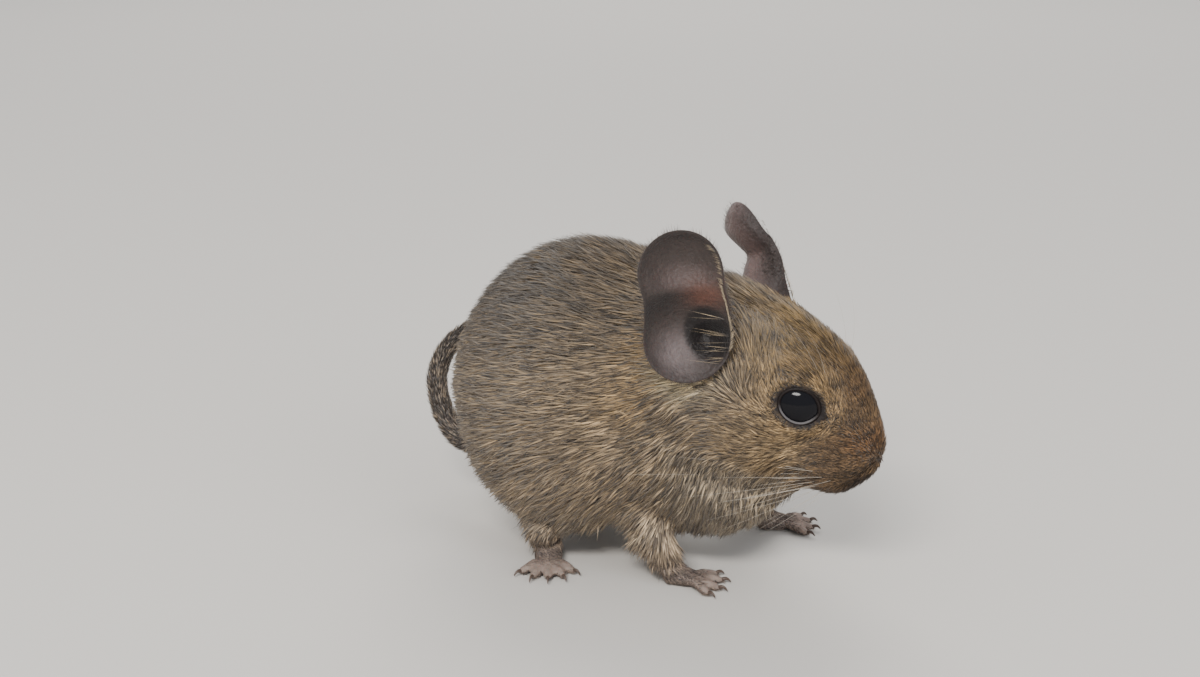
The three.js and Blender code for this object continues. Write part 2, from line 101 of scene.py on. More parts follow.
def run_together(parts: list[np.ndarray], reach: float, sunk: float) -> np.ndarray:
    """Takes the smallest of several values, with the corner between each two rounded off.

    Args:
        parts: the values.
        reach: the gap between two values below which the corner is rounded.
        sunk: how far it is rounded in the corner itself.

    Returns:
        The smallest values.
    """
    total = parts[0]
    for other in parts[1:]:
        near = np.maximum(reach - np.abs(total - other), 0) / reach
        total = np.minimum(total, other) - near**2 * sunk
    return total


def rgb(red: int, green: int, blue: int) -> np.ndarray:
    """Returns a colour given as a screen colour, 0 to 255, as linear light."""
    c = np.array([red, green, blue]) / 255
    return np.where(c <= 0.04045, c / 12.92, ((c + 0.055) / 1.055) ** 2.4)


# The head's pose and the places on it, in the design frame, in millimetres
HEAD_CENTRE = np.array([17.2, -5.2, 31.4])
HEAD_YAW = math.radians(-10)
HEAD_PITCH = math.radians(18)
EYE_PLACE = np.array([6.0, 5.7, 2.2])
EYE_RADIUS = 4.2
EYE_AXIS = unit(np.array([0.34, 0.9, 0.2]))
EYE_REACH = 8.0
NOSTRIL = np.array([17.6, 1.55, -2.9])
EAR_ROOT = np.array([-6.2, 12.3, 6.0])
BODY_CENTRE = np.array([2.0, 0.0, 25.0])
BODY_SIZE = np.array([34.0, 20.0, 24.0])
LEG_TOP = 9.0
BACK_FROM = 36.0
TAIL_PATH = np.array([
    [-29, 1.5, 13.5], [-36.5, 3.2, 12.6], [-41.5, 6.5, 15.6], [-44.3, 10.5, 20.2], [-43.9, 15.5, 24.6],
    [-39.5, 21, 27.4], [-31, 25.2, 27.6], [-20.5, 27, 25.8], [-10, 27, 23.5],
], float)
TAIL_RADII = np.array([2.3, 2.0, 1.8, 1.65, 1.5, 1.4, 1.3, 1.15, 0.9])


class Side(Enum):
    """A side of the animal. Its value is the sign of y."""

    RIGHT = -1
    LEFT = 1

    @property
    def label(self) -> str:
        """Returns the side's word in node names."""
        return self.name.lower()


def head_axes() -> np.ndarray:
    """Works out the head's turn: yaw about z, then pitch about y.

    Returns:
        The head's axes as the columns of a 3 by 3 array.
    """
    cy, sy = math.cos(HEAD_YAW), math.sin(HEAD_YAW)
    cp, sp = math.cos(HEAD_PITCH), math.sin(HEAD_PITCH)
    yaw = np.array([[cy, -sy, 0], [sy, cy, 0], [0, 0, 1]])
    pitch = np.array([[cp, 0, sp], [0, 1, 0], [-sp, 0, cp]])
    return yaw @ pitch


HEAD_AXES = head_axes()


def from_head(p: np.ndarray) -> np.ndarray:
    """Returns places in the head's own frame as places in the design frame."""
    return HEAD_CENTRE + np.asarray(p, float) @ HEAD_AXES.T


def to_head(p: np.ndarray) -> np.ndarray:
    """Returns places in the design frame as places in the head's own frame."""
    return (np.asarray(p, float) - HEAD_CENTRE) @ HEAD_AXES


def from_pair(h: np.ndarray, place: np.ndarray) -> np.ndarray:
    """Returns the way to places in the head's frame from the one of a mirrored pair on their side."""
    side = np.where(h[:, 1:2] < 0, -1.0, 1.0)
    return h - place * np.concatenate([np.ones_like(side), side, np.ones_like(side)], 1)


@dataclass
class Shop:
    """Puts finished arrays into the scene, and holds what every class shares.

    Attributes:
        offset: where the design frame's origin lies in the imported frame, in millimetres.
        finishes: the materials by name.
        rng: the one random source.
    """

    offset: np.ndarray
    finishes: dict[str, bpy.types.Material]
    rng: np.random.Generator

    @classmethod
    def from_frame(cls) -> "Shop":
        """Stocks a shop, with its offset read from the right eye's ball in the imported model.

        Returns:
            The shop.
        """
        low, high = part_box("eye_right")
        centre = (np.array(low) + np.array(high)) / 2 / MM
        offset = centre - from_head(EYE_PLACE * [1, Side.RIGHT.value, 1])
        return cls(offset, finishes(), np.random.default_rng(SEED))

    def mesh(
        self,
        name: str,
        points: np.ndarray,
        faces: np.ndarray,
        finish: str,
        slot: str,
    ) -> bpy.types.Object:
        """Makes one piece from points and faces of one size.

        Args:
            name: the piece's name.
            points: n by 3 places in the design frame, in millimetres.
            faces: m by 3 or m by 4 point numbers, outwards.
            finish: its material's name.
            slot: not used.

        Returns:
            The new object, riding on the model's one body.
        """
        mesh = bpy.data.meshes.new(name)
        corners = faces.shape[1]
        mesh.vertices.add(len(points))
        mesh.vertices.foreach_set("co", ((points + self.offset) * MM).astype(np.float32).ravel())
        mesh.loops.add(faces.size)
        mesh.loops.foreach_set("vertex_index", faces.astype(np.int32).ravel())
        mesh.polygons.add(len(faces))
        mesh.polygons.foreach_set("loop_start", np.arange(0, faces.size, corners, dtype=np.int32))
        mesh.update(calc_edges=True)
        mesh.shade_smooth()
        mesh.materials.append(self.finishes[finish])
        piece = bpy.data.objects.new(name, mesh)
        bpy.context.scene.collection.objects.link(piece)
        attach(piece, "root")
        LOG.info("%s: %d points, %d faces", name, len(points), len(faces))
        return piece

    @staticmethod
    def attribute(piece: bpy.types.Object, name: str, values: np.ndarray) -> None:
        """Stores one number or one colour for each point.

        Args:
            piece: the object whose mesh takes the attribute.
            name: the attribute's name.
            values: n numbers, or n by 3 colours in linear light.
        """
        if values.ndim == 1:
            made = piece.data.attributes.new(name, "FLOAT", "POINT")
            made.data.foreach_set("value", values.astype(np.float32))
            return
        made = piece.data.attributes.new(name, "FLOAT_COLOR", "POINT")
        full = np.ones((len(values), 4), np.float32)
        full[:, :3] = values
        made.data.foreach_set("color", full.ravel())


def grid_faces(rows: int, columns: int, wrap: bool) -> np.ndarray:
    """Returns the four-sided faces of a grid of points stored row by row.

    Args:
        rows: how many rows of points.
        columns: how many points in a row.
        wrap: whether the last column joins the first.

    Returns:
        m by 4 point numbers.
    """
    across = columns if wrap else columns - 1
    r, c = np.meshgrid(np.arange(rows - 1), np.arange(across), indexing="ij")
    low, high, n = r * columns, (r + 1) * columns, (c + 1) % columns
    return np.stack([low + c, low + n, high + n, high + c], -1).reshape(-1, 4)


def as_triangles(quads: np.ndarray) -> np.ndarray:
    """Returns four-sided faces split into triangles."""
    return np.concatenate([quads[:, [0, 1, 2]], quads[:, [0, 2, 3]]])


def capped(rows: int, columns: int) -> np.ndarray:
    """Returns the triangles of a wrapped grid that a point closes at each end.

    Args:
        rows: how many rows of points.
        columns: how many points in a row.

    Returns:
        m by 3 point numbers. The two end points are numbered after the grid's own.
    """
    k = np.arange(columns)
    n = (k + 1) % columns
    top, first = (rows - 1) * columns, rows * columns
    start = np.stack([np.full(columns, first), n, k], 1)
    end = np.stack([np.full(columns, first + 1), top + k, top + n], 1)
    return np.concatenate([as_triangles(grid_faces(rows, columns, True)), start, end])


def spline(path: np.ndarray, t: np.ndarray) -> np.ndarray:
    """Returns points of a smooth curve through the path: a cubic between each two, even in t.

    Args:
        path: n by k values at even steps of t.
        t: places along it, 0 to 1.

    Returns:
        The values at t.
    """
    spans = len(path) - 1
    padded = np.vstack([2 * path[:1] - path[1:2], path, 2 * path[-1:] - path[-2:-1]])
    at = np.clip(np.asarray(t, float), 0, 1) * spans
    i = np.minimum(at.astype(int), spans - 1)
    f = (at - i)[..., None]
    a, b, c, d = (padded[i + k] for k in range(4))
    return 0.5 * (2 * b + (c - a) * f + (2 * a - 5 * b + 4 * c - d) * f**2 + (3 * b - a - 3 * c + d) * f**3)


def tube(
    centres: np.ndarray,
    radii: np.ndarray,
    sides: int,
    flat: float = 1.0,
) -> tuple[np.ndarray, np.ndarray]:
    """Carries a ring along a path and closes both ends with a point.

    Args:
        centres: n by 3 places along the path.
        radii: n ring radii.
        sides: points in a ring.
        flat: the ring's thickness as a share of its width.

    Returns:
        Points and triangles.
    """
    tangent = unit(np.gradient(centres, axis=0))
    guide = np.tile([0.0, 0.0, 1.0], (len(centres), 1))
    guide[np.abs(tangent[:, 2]) > 0.9] = [1.0, 0.0, 0.0]
    wide = unit(np.cross(tangent, guide))
    thick = np.cross(tangent, wide)
    angle = (np.arange(sides) * 2 * math.pi / sides)[None, :, None]
    ring = np.cos(angle) * wide[:, None] + flat * np.sin(angle) * thick[:, None]
    points = (centres[:, None] + radii[:, None, None] * ring).reshape(-1, 3)
    return np.vstack([points, centres[0], centres[-1]]), capped(len(centres), sides)


def gathered(pieces: list[tuple[np.ndarray, np.ndarray]]) -> tuple[np.ndarray, np.ndarray]:
    """Returns several sets of points and faces as one."""
    shift = np.cumsum([0] + [len(p) for p, _ in pieces[:-1]])
    return np.vstack([p for p, _ in pieces]), np.vstack([f + s for (_, f), s in zip(pieces, shift)])


class Pelt:
    """The coat's markings and lie: a colour, a depth and a direction for each place on the body. The colours
    also hold painted shade at the mouth corners and in the nostrils.
    """

    BACK = rgb(86, 75, 62)
    FLANK = rgb(146, 127, 102)
    CROWN = rgb(120, 100, 68)
    CHEEK = rgb(134, 113, 84)
    FOREHEAD = rgb(98, 78, 52)
    MUZZLE = rgb(84, 64, 45)
    NOSE = rgb(114, 78, 46)
    # The lip's own dark colour, also used for the painted shade at the mouth corners.
    LIP = rgb(40, 28, 22)
    CHIN = rgb(140, 108, 70)
    THROAT = rgb(150, 136, 116)
    BELLY = rgb(184, 166, 142)
    OCHRE = rgb(142, 115, 75)
    TEMPLE = rgb(116, 104, 90)
    EAR_PATCH = rgb(222, 204, 166)
    EYE_RING = rgb(156, 130, 94)
    LEG = rgb(156, 136, 116)
    FOOT = rgb(136, 120, 110)
    # Painted shade: the dark colour of the nostrils' openings.
    NOSTRIL = rgb(40, 26, 24)
    LID = rgb(30, 24, 23)
    DOWN_THROAT = np.array([-0.35, 0.0, -1.0])
    DOWN_LEG = np.array([-0.1, 0.0, -1.0])
    TO_TOES = np.array([0.8, 0.1, -0.5])

    @staticmethod
    def zones(p: np.ndarray) -> dict[str, np.ndarray]:
        """Works out how far each place belongs to each zone of the body.

        A zone is a product of smooth steps along the axes of body or head, or a soft spot on the head.

        Args:
            p: n by 3 places in the design frame.

        Returns:
            Named arrays of n weights, 0 to 1, and the gap from the eye's centre in millimetres.
        """
        h = to_head(p)
        x, z, wide, height = h[:, 0], h[:, 2], np.abs(h[:, 1]), p[:, 2]
        eye_gap = np.linalg.norm(from_pair(h, EYE_PLACE) * [0.9, 1, 1.1], axis=1)
        nostril_gap = np.linalg.norm(from_pair(h, NOSTRIL) * [1, 1, 1.3], axis=1)
        ear_gap = np.linalg.norm(from_pair(h, EAR_ROOT), axis=1)
        head = step(x, -8, 2) * step(z, -13, -8)
        foot = step(height, 4.4, 2.6)
        side = step(wide, 5, 8)
        lip = step(x, 13.4, 15.8) * step(z, -3.6, -5.4) * step(wide, 4.8, 2.8)
        # Painted shade: a dark spot at each mouth corner, joined to the lip zone and given the lip's colour.
        mouth = 0.75 * spot(x, z, (9.6, -7.4), (2.6, 0.9))
        return {
            "head": head,
            "crown": head * step(z, 0, 6),
            "muzzle": head * step(x, 7.5, 13.5),
            "nose": head * step(x, 15.0, 17.5),
            "forehead": head * step(x, 2.0, 8.0) * step(z, 3.0, 5.5),
            "snout": head * spot(x, z, (17.2, -0.6), (2.4, 1.8)),
            "lip": head * np.maximum(lip, mouth),
            "chin": head * spot(x, z, (12.4, -9.6), (2.2, 1.3)),
            "throat": step(z, -6.5, -10.0) * step(x, 12.5, 6.0) * step(p[:, 0], 2, 9),
            "belly": step(height, 15, 8.0) * (1 - foot),
            "back": step(height, 31, 44) * step(x, -2, -12),
            "ochre": step(x, -8, -12) * step(x, -20, -14) * step(height, 24, 30) * step(height, 44, 38),
            "eye_ring": head * step(eye_gap, 7.4, 5.2),
            "temple": side * spot(x, z, (-3.0, 1.0), (3.0, 3.2)),
            "patch": side * spot(x, z, (-7.6, 0.4), (3.6, 1.6)),
            "leg": step(height, 10.5, 5.0) * (1 - foot),
            "foot": foot,
            "ear_root": step(ear_gap, 5.6, 4.4),
            # Painted shade: dark spots where the nostrils open.
            "nostril": step(nostril_gap, 1.45, 0.75),
            "lid": np.maximum(step(Eye.nearest_share(p), 1.26, 1.14), Eye.corner(p)),
            "eye_gap": eye_gap,
        }

    @classmethod
    def colour(cls, p: np.ndarray) -> np.ndarray:
        """Blends the zones' colours in turn over the flank's colour.

        Args:
            p: n by 3 places in the design frame.

        Returns:
            n by 3 colours in linear light.
        """
        z = cls.zones(p)
        made = np.tile(cls.FLANK, (len(p), 1))
        layers = (
            ("back", cls.BACK, 0.75), ("ochre", cls.OCHRE, 0.55), ("belly", cls.BELLY, 0.85),
            ("head", cls.CHEEK, 0.8), ("crown", cls.CROWN, 0.85), ("forehead", cls.FOREHEAD, 0.7),
            ("muzzle", cls.MUZZLE, 0.8), ("snout", cls.NOSE, 0.55), ("temple", cls.TEMPLE, 0.7),
            ("eye_ring", cls.EYE_RING, 0.5), ("throat", cls.THROAT, 0.85), ("chin", cls.CHIN, 0.7),
            ("lip", cls.LIP, 0.75), ("patch", cls.EAR_PATCH, 0.9), ("leg", cls.LEG, 0.8),
            ("foot", cls.FOOT, 1.0), ("nostril", cls.NOSTRIL, 1.0), ("lid", cls.LID, 1.0),
        )
        for zone, colour, strength in layers:
            weight = (z[zone] * strength)[:, None]
            made = blend(made, colour, weight)
        return made

    @classmethod
    def depth(cls, p: np.ndarray) -> np.ndarray:
        """Works out the coat's depth, least round the eye and on the feet.

        Args:
            p: n by 3 places in the design frame.

        Returns:
            How far the skin lies inside the coat's outer surface, in millimetres.
        """
        z = cls.zones(p)
        made = 1.4 - 0.75 * z["head"] - 0.4 * z["muzzle"]
        made = made * (1 - 0.55 * z["leg"]) * (1 - z["foot"])
        return made * (0.1 + 0.9 * step(z["eye_gap"], 4.9, 8.0))

    @classmethod
    def lie(cls, p: np.ndarray, normal: np.ndarray) -> np.ndarray:
        """Works out the way the hair lies.

        It runs back over the body, a little up on the back and falling away below, up to the ear
        between eye and ear, down the throat and the legs, and round the eye.

        Args:
            p: n by 3 places in the design frame.
            normal: n by 3 outward directions.

        Returns:
            n by 3 directions of length one along the surface.
        """
        z = cls.zones(p)
        h = to_head(p)
        side = np.where(h[:, 1] < 0, -1.0, 1.0)
        body = np.tile([-1.0, 0.0, 0.0], (len(p), 1))
        body[:, 2] = 0.12 * step(p[:, 2], 34, 44) - 0.1
        body[:, 2] -= 0.5 * step(p[:, 2], 28, 16) + 1.3 * step(p[:, 2], 16, 8)
        body[:, 2] -= 0.55 * step(p[:, 0], -4, 8) * step(p[:, 2], 40, 30)
        local = np.tile([-1.0, 0.0, 0.0], (len(p), 1))
        local[:, 2] = 0.5 * step(h[:, 2], 0, 5) - 0.16 * step(h[:, 2], 0, -4) - 1.0 * step(h[:, 2], -6, -10)
        local[:, 2] += 2.2 * step(h[:, 0], 5.5, -1) * step(h[:, 2], -1.5, 2.5) * step(np.abs(h[:, 1]), 2.5, 7)
        local[:, 1] = 0.3 * side * step(h[:, 0], 17, 8)
        flow = blend(body, local @ HEAD_AXES.T, z["head"][:, None])
        for zone, way in (("throat", cls.DOWN_THROAT), ("leg", cls.DOWN_LEG), ("foot", cls.TO_TOES)):
            flow = blend(flow, way, z[zone][:, None])
        away = unit(from_pair(h, EYE_PLACE) @ HEAD_AXES.T)
        inward = np.minimum((unit(flow) * away).sum(1), 0) * step(z["eye_gap"], 8.0, 5.2)
        flow = unit(flow) - 1.25 * away * inward[:, None]
        return unit(flow - normal * (flow * normal).sum(1, keepdims=True))


@dataclass
class Tree:
    """A node tree, with short ways to add nodes and to feed their sockets."""

    tree: bpy.types.NodeTree

    def add(self, kind: str, **settings: object) -> bpy.types.Node:
        """Adds a node and sets its own properties.

        Args:
            kind: the node's type.
            settings: values for its properties.

        Returns:
            The node.
        """
        made = self.tree.nodes.new(kind)
        for name, value in settings.items():
            setattr(made, name, value)
        return made

    def feed(self, socket: bpy.types.NodeSocket, value: object) -> None:
        """Feeds a socket from another socket, or gives it a constant.

        Args:
            socket: the socket that takes the value.
            value: a socket, a number or a colour.
        """
        if isinstance(value, bpy.types.NodeSocket):
            self.tree.links.new(value, socket)
        elif isinstance(value, np.ndarray):
            socket.default_value = (*value, 1)
        else:
            socket.default_value = value

    def mix(self, factor: object, a: object, b: object, blend: str = "MIX") -> bpy.types.NodeSocket:
        """Mixes two colours, each a constant or a socket.

        Args:
            factor: how much of the second, a number or a socket.
            a: the first colour.
            b: the second colour.
            blend: the blend type.

        Returns:
            The mixed colour's socket.
        """
        made = self.add("ShaderNodeMix", data_type="RGBA", blend_type=blend)
        self.feed(made.inputs[0], factor)
        self.feed(made.inputs[6], a)
        self.feed(made.inputs[7], b)
        return made.outputs[2]

    def math(self, operation: str, a: object, b: object) -> bpy.types.NodeSocket:
        """Works out a sum, a product or a function of one value.

        Args:
            operation: the operation's name.
            a: the first value, a number or a socket.
            b: the second value.

        Returns:
            The result's socket.
        """
        made = self.add("ShaderNodeMath", operation=operation)
        self.feed(made.inputs[0], a)
        self.feed(made.inputs[1], b)
        return made.outputs[0]

    def rise(self, value: object, low: float, high: float) -> bpy.types.NodeSocket:
        """Makes a smooth rise.

        Args:
            value: the value's socket.
            low: where it is 0.
            high: where it is 1.

        Returns:
            The result's socket.
        """
        made = self.add("ShaderNodeMapRange", interpolation_type="SMOOTHSTEP")
        self.feed(made.inputs["Value"], value)
        self.feed(made.inputs["From Min"], low)
        self.feed(made.inputs["From Max"], high)
        return made.outputs["Result"]

    def stored(self, name: str, colour: bool = False) -> bpy.types.NodeSocket:
        """Returns a mesh attribute as a number or a colour."""
        made = self.add("ShaderNodeAttribute", attribute_name=name)
        return made.outputs["Color" if colour else "Fac"]

    def noise(self, scale: object, detail: object = 3.0) -> bpy.types.NodeSocket:
        """Makes a noise over Object coordinates.

        Args:
            scale: its scale in cells per metre, a number or a socket.
            detail: its levels of detail.

        Returns:
            The noise's socket.
        """
        place = self.add("ShaderNodeTexCoord")
        made = self.add("ShaderNodeTexNoise")
        self.feed(made.inputs["Scale"], scale)
        self.feed(made.inputs["Detail"], detail)
        self.feed(made.inputs["Vector"], place.outputs["Object"])
        return made.outputs["Fac"]

    def bump(self, height: bpy.types.NodeSocket, distance: object) -> bpy.types.NodeSocket:
        """Makes a normal for a height.

        Args:
            height: the height's socket, 0 to 1.
            distance: the full depth in metres.

        Returns:
            The normal's socket.
        """
        made = self.add("ShaderNodeBump")
        self.feed(made.inputs["Distance"], distance)
        self.feed(made.inputs["Height"], height)
        return made.outputs["Normal"]


@dataclass(frozen=True)
class BareSkin:
    """The mottling and the creases of bare skin, as one node group for every material that shows it.

    Attributes:
        strength: how far the mottling changes the colour.
        patch: the mottling's scale, in cells per metre.
        crease: the creases' scale, in cells per metre.
        depth: the creases' depth in metres.
        detail: the creases' levels of detail.
    """

    strength: float
    patch: float
    crease: float
    depth: float
    detail: float = 3.0

    NAME = "bare_skin"

    def group(self) -> bpy.types.NodeTree:
        """Builds the node group at its first use: a noise laid over the colour, and a bump.

        Returns:
            The node group.
        """
        if self.NAME in bpy.data.node_groups:
            return bpy.data.node_groups[self.NAME]
        made = bpy.data.node_groups.new(self.NAME, "ShaderNodeTree")
        made.interface.new_socket("Color", in_out="INPUT", socket_type="NodeSocketColor")
        for name in self.__dataclass_fields__:
            made.interface.new_socket(name, in_out="INPUT", socket_type="NodeSocketFloat")
        made.interface.new_socket("Color", in_out="OUTPUT", socket_type="NodeSocketColor")
        made.interface.new_socket("Normal", in_out="OUTPUT", socket_type="NodeSocketVector")
        tree = Tree(made)
        given = tree.add("NodeGroupInput").outputs
        result = tree.add("NodeGroupOutput").inputs
        mottle = tree.mix(given["strength"], given["Color"], tree.noise(given["patch"]), "OVERLAY")
        crease = tree.bump(tree.noise(given["crease"], given["detail"]), given["depth"])
        tree.feed(result["Color"], mottle)
        tree.feed(result["Normal"], crease)
        return made

    def dress(self, tree: Tree, shader: bpy.types.Node) -> None:
        """Places the group in a material, between the stored pelt colour and the shader.

        Args:
            tree: the material's tree.
            shader: its shader.
        """
        placed = tree.add("ShaderNodeGroup", node_tree=self.group())
        tree.feed(placed.inputs["Color"], tree.stored("pelt", colour=True))
        for name in self.__dataclass_fields__:
            tree.feed(placed.inputs[name], getattr(self, name))
        tree.feed(shader.inputs["Base Color"], placed.outputs["Color"])
        tree.feed(shader.inputs["Normal"], placed.outputs["Normal"])


@dataclass(frozen=True)
class Finish:
    """A surface's own constants, shared by every material here.

    Attributes:
        name: the material's name.
        roughness: the shader's roughness.
        specular: the strength of its reflection.
        sheen: the strength of its soft sheen.
        under: how much light passes under the surface.
    """

    name: str
    roughness: float
    specular: float = 0.4
    sheen: float = 0.0
    under: float = 0.0

    def begin(self) -> tuple[bpy.types.Material, Tree, bpy.types.Node]:
        """Makes a material and sets the constants on its shader's own sockets.

        Returns:
            The material, its tree and its shader.
        """
        made = bpy.data.materials.new(self.name)
        made.use_nodes = True
        shader = made.node_tree.nodes["Principled BSDF"]
        shader.inputs["Roughness"].default_value = self.roughness
        shader.inputs["Specular IOR Level"].default_value = self.specular
        shader.inputs["Sheen Weight"].default_value = self.sheen
        shader.inputs["Subsurface Weight"].default_value = self.under
        shader.inputs["Subsurface Scale"].default_value = 0.001
        return made, Tree(made.node_tree), shader


def coat_material() -> bpy.types.Material:
    """Makes banded hair: a dark root, the pelt's colour, and on the darkest tufts a dark tip. The dark root
    is the hair's own dark base and also painted shade deep in the coat.

    Returns:
        The material.
    """
    made, tree, shader = Finish("coat", roughness=0.6, specular=0.25, sheen=0.15).begin()
    tint = tree.stored("tint")
    along = tree.stored("along")
    bright = tree.add("ShaderNodeValToRGB")
    tree.feed(bright.inputs["Fac"], tint)
    ramp = bright.color_ramp
    ramp.elements[0].color = (0.26, 0.26, 0.28, 1)
    ramp.elements[1].color = (1.85, 1.8, 1.66, 1)
    ramp.elements.new(0.5).color = (0.92, 0.92, 0.92, 1)
    band = tree.mix(1.0, tree.stored("pelt", colour=True), bright.outputs["Color"], "MULTIPLY")
    # Dark towards the root: the hair's own dark base, with painted shade deep in the coat.
    root_base_and_shade = tree.mix(tree.rise(along, 0.0, 0.5), rgb(58, 47, 40), band)
    dark = tree.math("MULTIPLY", tree.rise(along, 0.5, 1.0), tree.rise(tint, 0.4, 0.2))
    tree.feed(shader.inputs["Base Color"], tree.mix(dark, root_base_and_shade, rgb(46, 36, 29)))
    return made


def tail_material() -> bpy.types.Material:
    """Makes the tail's skin: dark grey, in rings a millimetre apart.

    Returns:
        The material.
    """
    made, tree, shader = Finish("tail_skin", roughness=0.6).begin()
    wave = tree.math("SINE", tree.math("MULTIPLY", tree.stored("length"), 6.8), 0.0)
    ringed = tree.mix(tree.rise(wave, -0.6, 0.8), rgb(62, 54, 50), rgb(104, 94, 88))
    tree.feed(shader.inputs["Base Color"], ringed)
    tree.feed(shader.inputs["Normal"], tree.bump(tree.rise(wave, -1.0, 1.0), 0.00018))
    return made


def finishes() -> dict[str, bpy.types.Material]:
    """Makes every material.

    Returns:
        The materials by name.
    """
    made = {"coat": coat_material(), "tail_skin": tail_material()}
    bare = (
        (Finish("skin", 0.65, under=0.08), BareSkin(0.4, 900.0, 2600.0, 0.0002)),
        (Finish("lid", 0.45, specular=0.2), BareSkin(0.0, 900.0, 4200.0, 0.0001)),
        (Finish("ear", 0.5, sheen=0.1, under=0.06), BareSkin(0.35, 700.0, 1900.0, 0.0003, detail=5.0)),
    )
    for finish, relief in bare:
        made[finish.name], tree, shader = finish.begin()
        relief.dress(tree, shader)
    plain = (
        (Finish("eye", 0.08, specular=0.16), np.array([0.006, 0.006, 0.008])),
        (Finish("claw", 0.35), rgb(84, 70, 62)),
        (Finish("whisker", 0.4), rgb(186, 176, 162)),
        (Finish("floor", 0.9), rgb(206, 202, 196)),
    )
    for finish, colour in plain:
        made[finish.name], _, shader = finish.begin()
        shader.inputs["Base Color"].default_value = (*colour, 1)
    return made


@dataclass(frozen=True)
class Foot:
    """A foot on the floor: a sole, toes that fan out from the knuckles and a claw on each.

    Attributes:
        label: the foot's name.
        path: heel, middle and knuckles, in the design frame.
        radii: the sole's radius at each of them.
        across: how far the outer toes stand from the middle of the foot.
        toe_length: the longest toe's length.
        toes: for each toe its spread in degrees, its offset across and its share of the length.
    """

    label: str
    path: tuple[tuple[float, float, float], ...]
    radii: tuple[float, float, float]
    across: float
    toe_length: float
    toes: tuple[tuple[float, float, float], ...]

    TOE_RADIUS = 0.72
    CLAW_LENGTH = 1.3

    def toe_lines(self) -> tuple[np.ndarray, np.ndarray, np.ndarray]:
        """Works out where the toes stand and point.

        Returns:
            Each toe's root, its direction along the floor and its length.
        """
        path = np.array(self.path)
        heading = path[-1] - path[0]
        heading = math.atan2(heading[1], heading[0])
        sideways = np.array([-math.sin(heading), math.cos(heading), 0])
        spread, offset, share = np.array(self.toes).T
        angle = heading + np.radians(spread)
        direction = np.stack([np.cos(angle), np.sin(angle), 0 * angle], 1)
        return path[-1] + offset[:, None] * self.across * sideways, direction, self.toe_length * share

    def solids(self) -> list[tuple[np.ndarray, np.ndarray]]:
        """Makes the sole and the toes as closed tubes, rounded at their ends.

        Returns:
            Points and triangles of each.
        """
        t = np.linspace(0, 1, 12)
        near_end = np.maximum(0, 1 - np.minimum(t, 1 - t) / 0.25)
        cap = np.sqrt(np.clip(1 - near_end**2, 0.02, 1))
        radii = spline(np.array(self.radii)[:, None], t)[:, 0] * cap
        centres = spline(np.array(self.path), t)
        made = [tube(centres, radii, 16, 0.75)]
        for root, direction, length in zip(*self.toe_lines()):
            reach = -0.6 + (length + 0.75) * t
            height = spline(np.array([[1.15], [1.15], [0.75], [0.6]]), t)[:, 0]
            centres = root + reach[:, None] * direction
            centres[:, 2] = height
            knuckle = 1.08 + 0.1 * np.cos(t * 3 * math.pi)
            made.append(tube(centres, self.TOE_RADIUS * knuckle * cap * (1 - 0.15 * t), 10))
        return made

    def claws(self) -> list[tuple[np.ndarray, np.ndarray]]:
        """Makes a curved, tapered claw for each toe.

        Returns:
            Points and triangles of each.
        """
        t = np.linspace(0, 1, 9)
        made = []
        for root, direction, length in zip(*self.toe_lines()):
            reach = length - 0.35 + self.CLAW_LENGTH * t
            centres = root + reach[:, None] * direction
            centres[:, 2] = 0.72 + 0.42 * np.sin(t * 2.0) - 0.75 * t**2
            made.append(tube(centres, 0.29 * np.sqrt(1 - t * 0.97), 10, 1.15))
        return made


FORE_TOES = ((34, 1.0, 0.82), (12, 0.36, 1.0), (-10, -0.34, 1.0), (-34, -1.0, 0.84))
HIND_TOES = ((46, 1.0, 0.72), (20, 0.5, 0.96), (0, 0.0, 1.0), (-20, -0.5, 0.96), (-48, -1.0, 0.74))
FORE = ((1.7, 1.85, 1.75), 1.55, 4.3, FORE_TOES)
HIND = ((2.0, 2.2, 1.95), 1.9, 4.7, HIND_TOES)
FEET = (
    Foot("forefoot_right", ((2.9, -12.5, 1.1), (5.4, -12.3, 1.3), (8.1, -12.2, 0.9)), *FORE),
    Foot("forefoot_left", ((12.5, 10.3, 1.1), (15.1, 11.2, 1.3), (17.7, 12.1, 0.9)), *FORE),
    Foot("hindfoot_right", ((-18.2, -6.0, 1.1), (-16.4, -10.5, 1.5), (-15.2, -14.2, 0.9)), *HIND),
    Foot("hindfoot_left", ((-20.0, 7.0, 1.1), (-15.6, 10.2, 1.5), (-12.2, 12.4, 0.9)), *HIND),
)


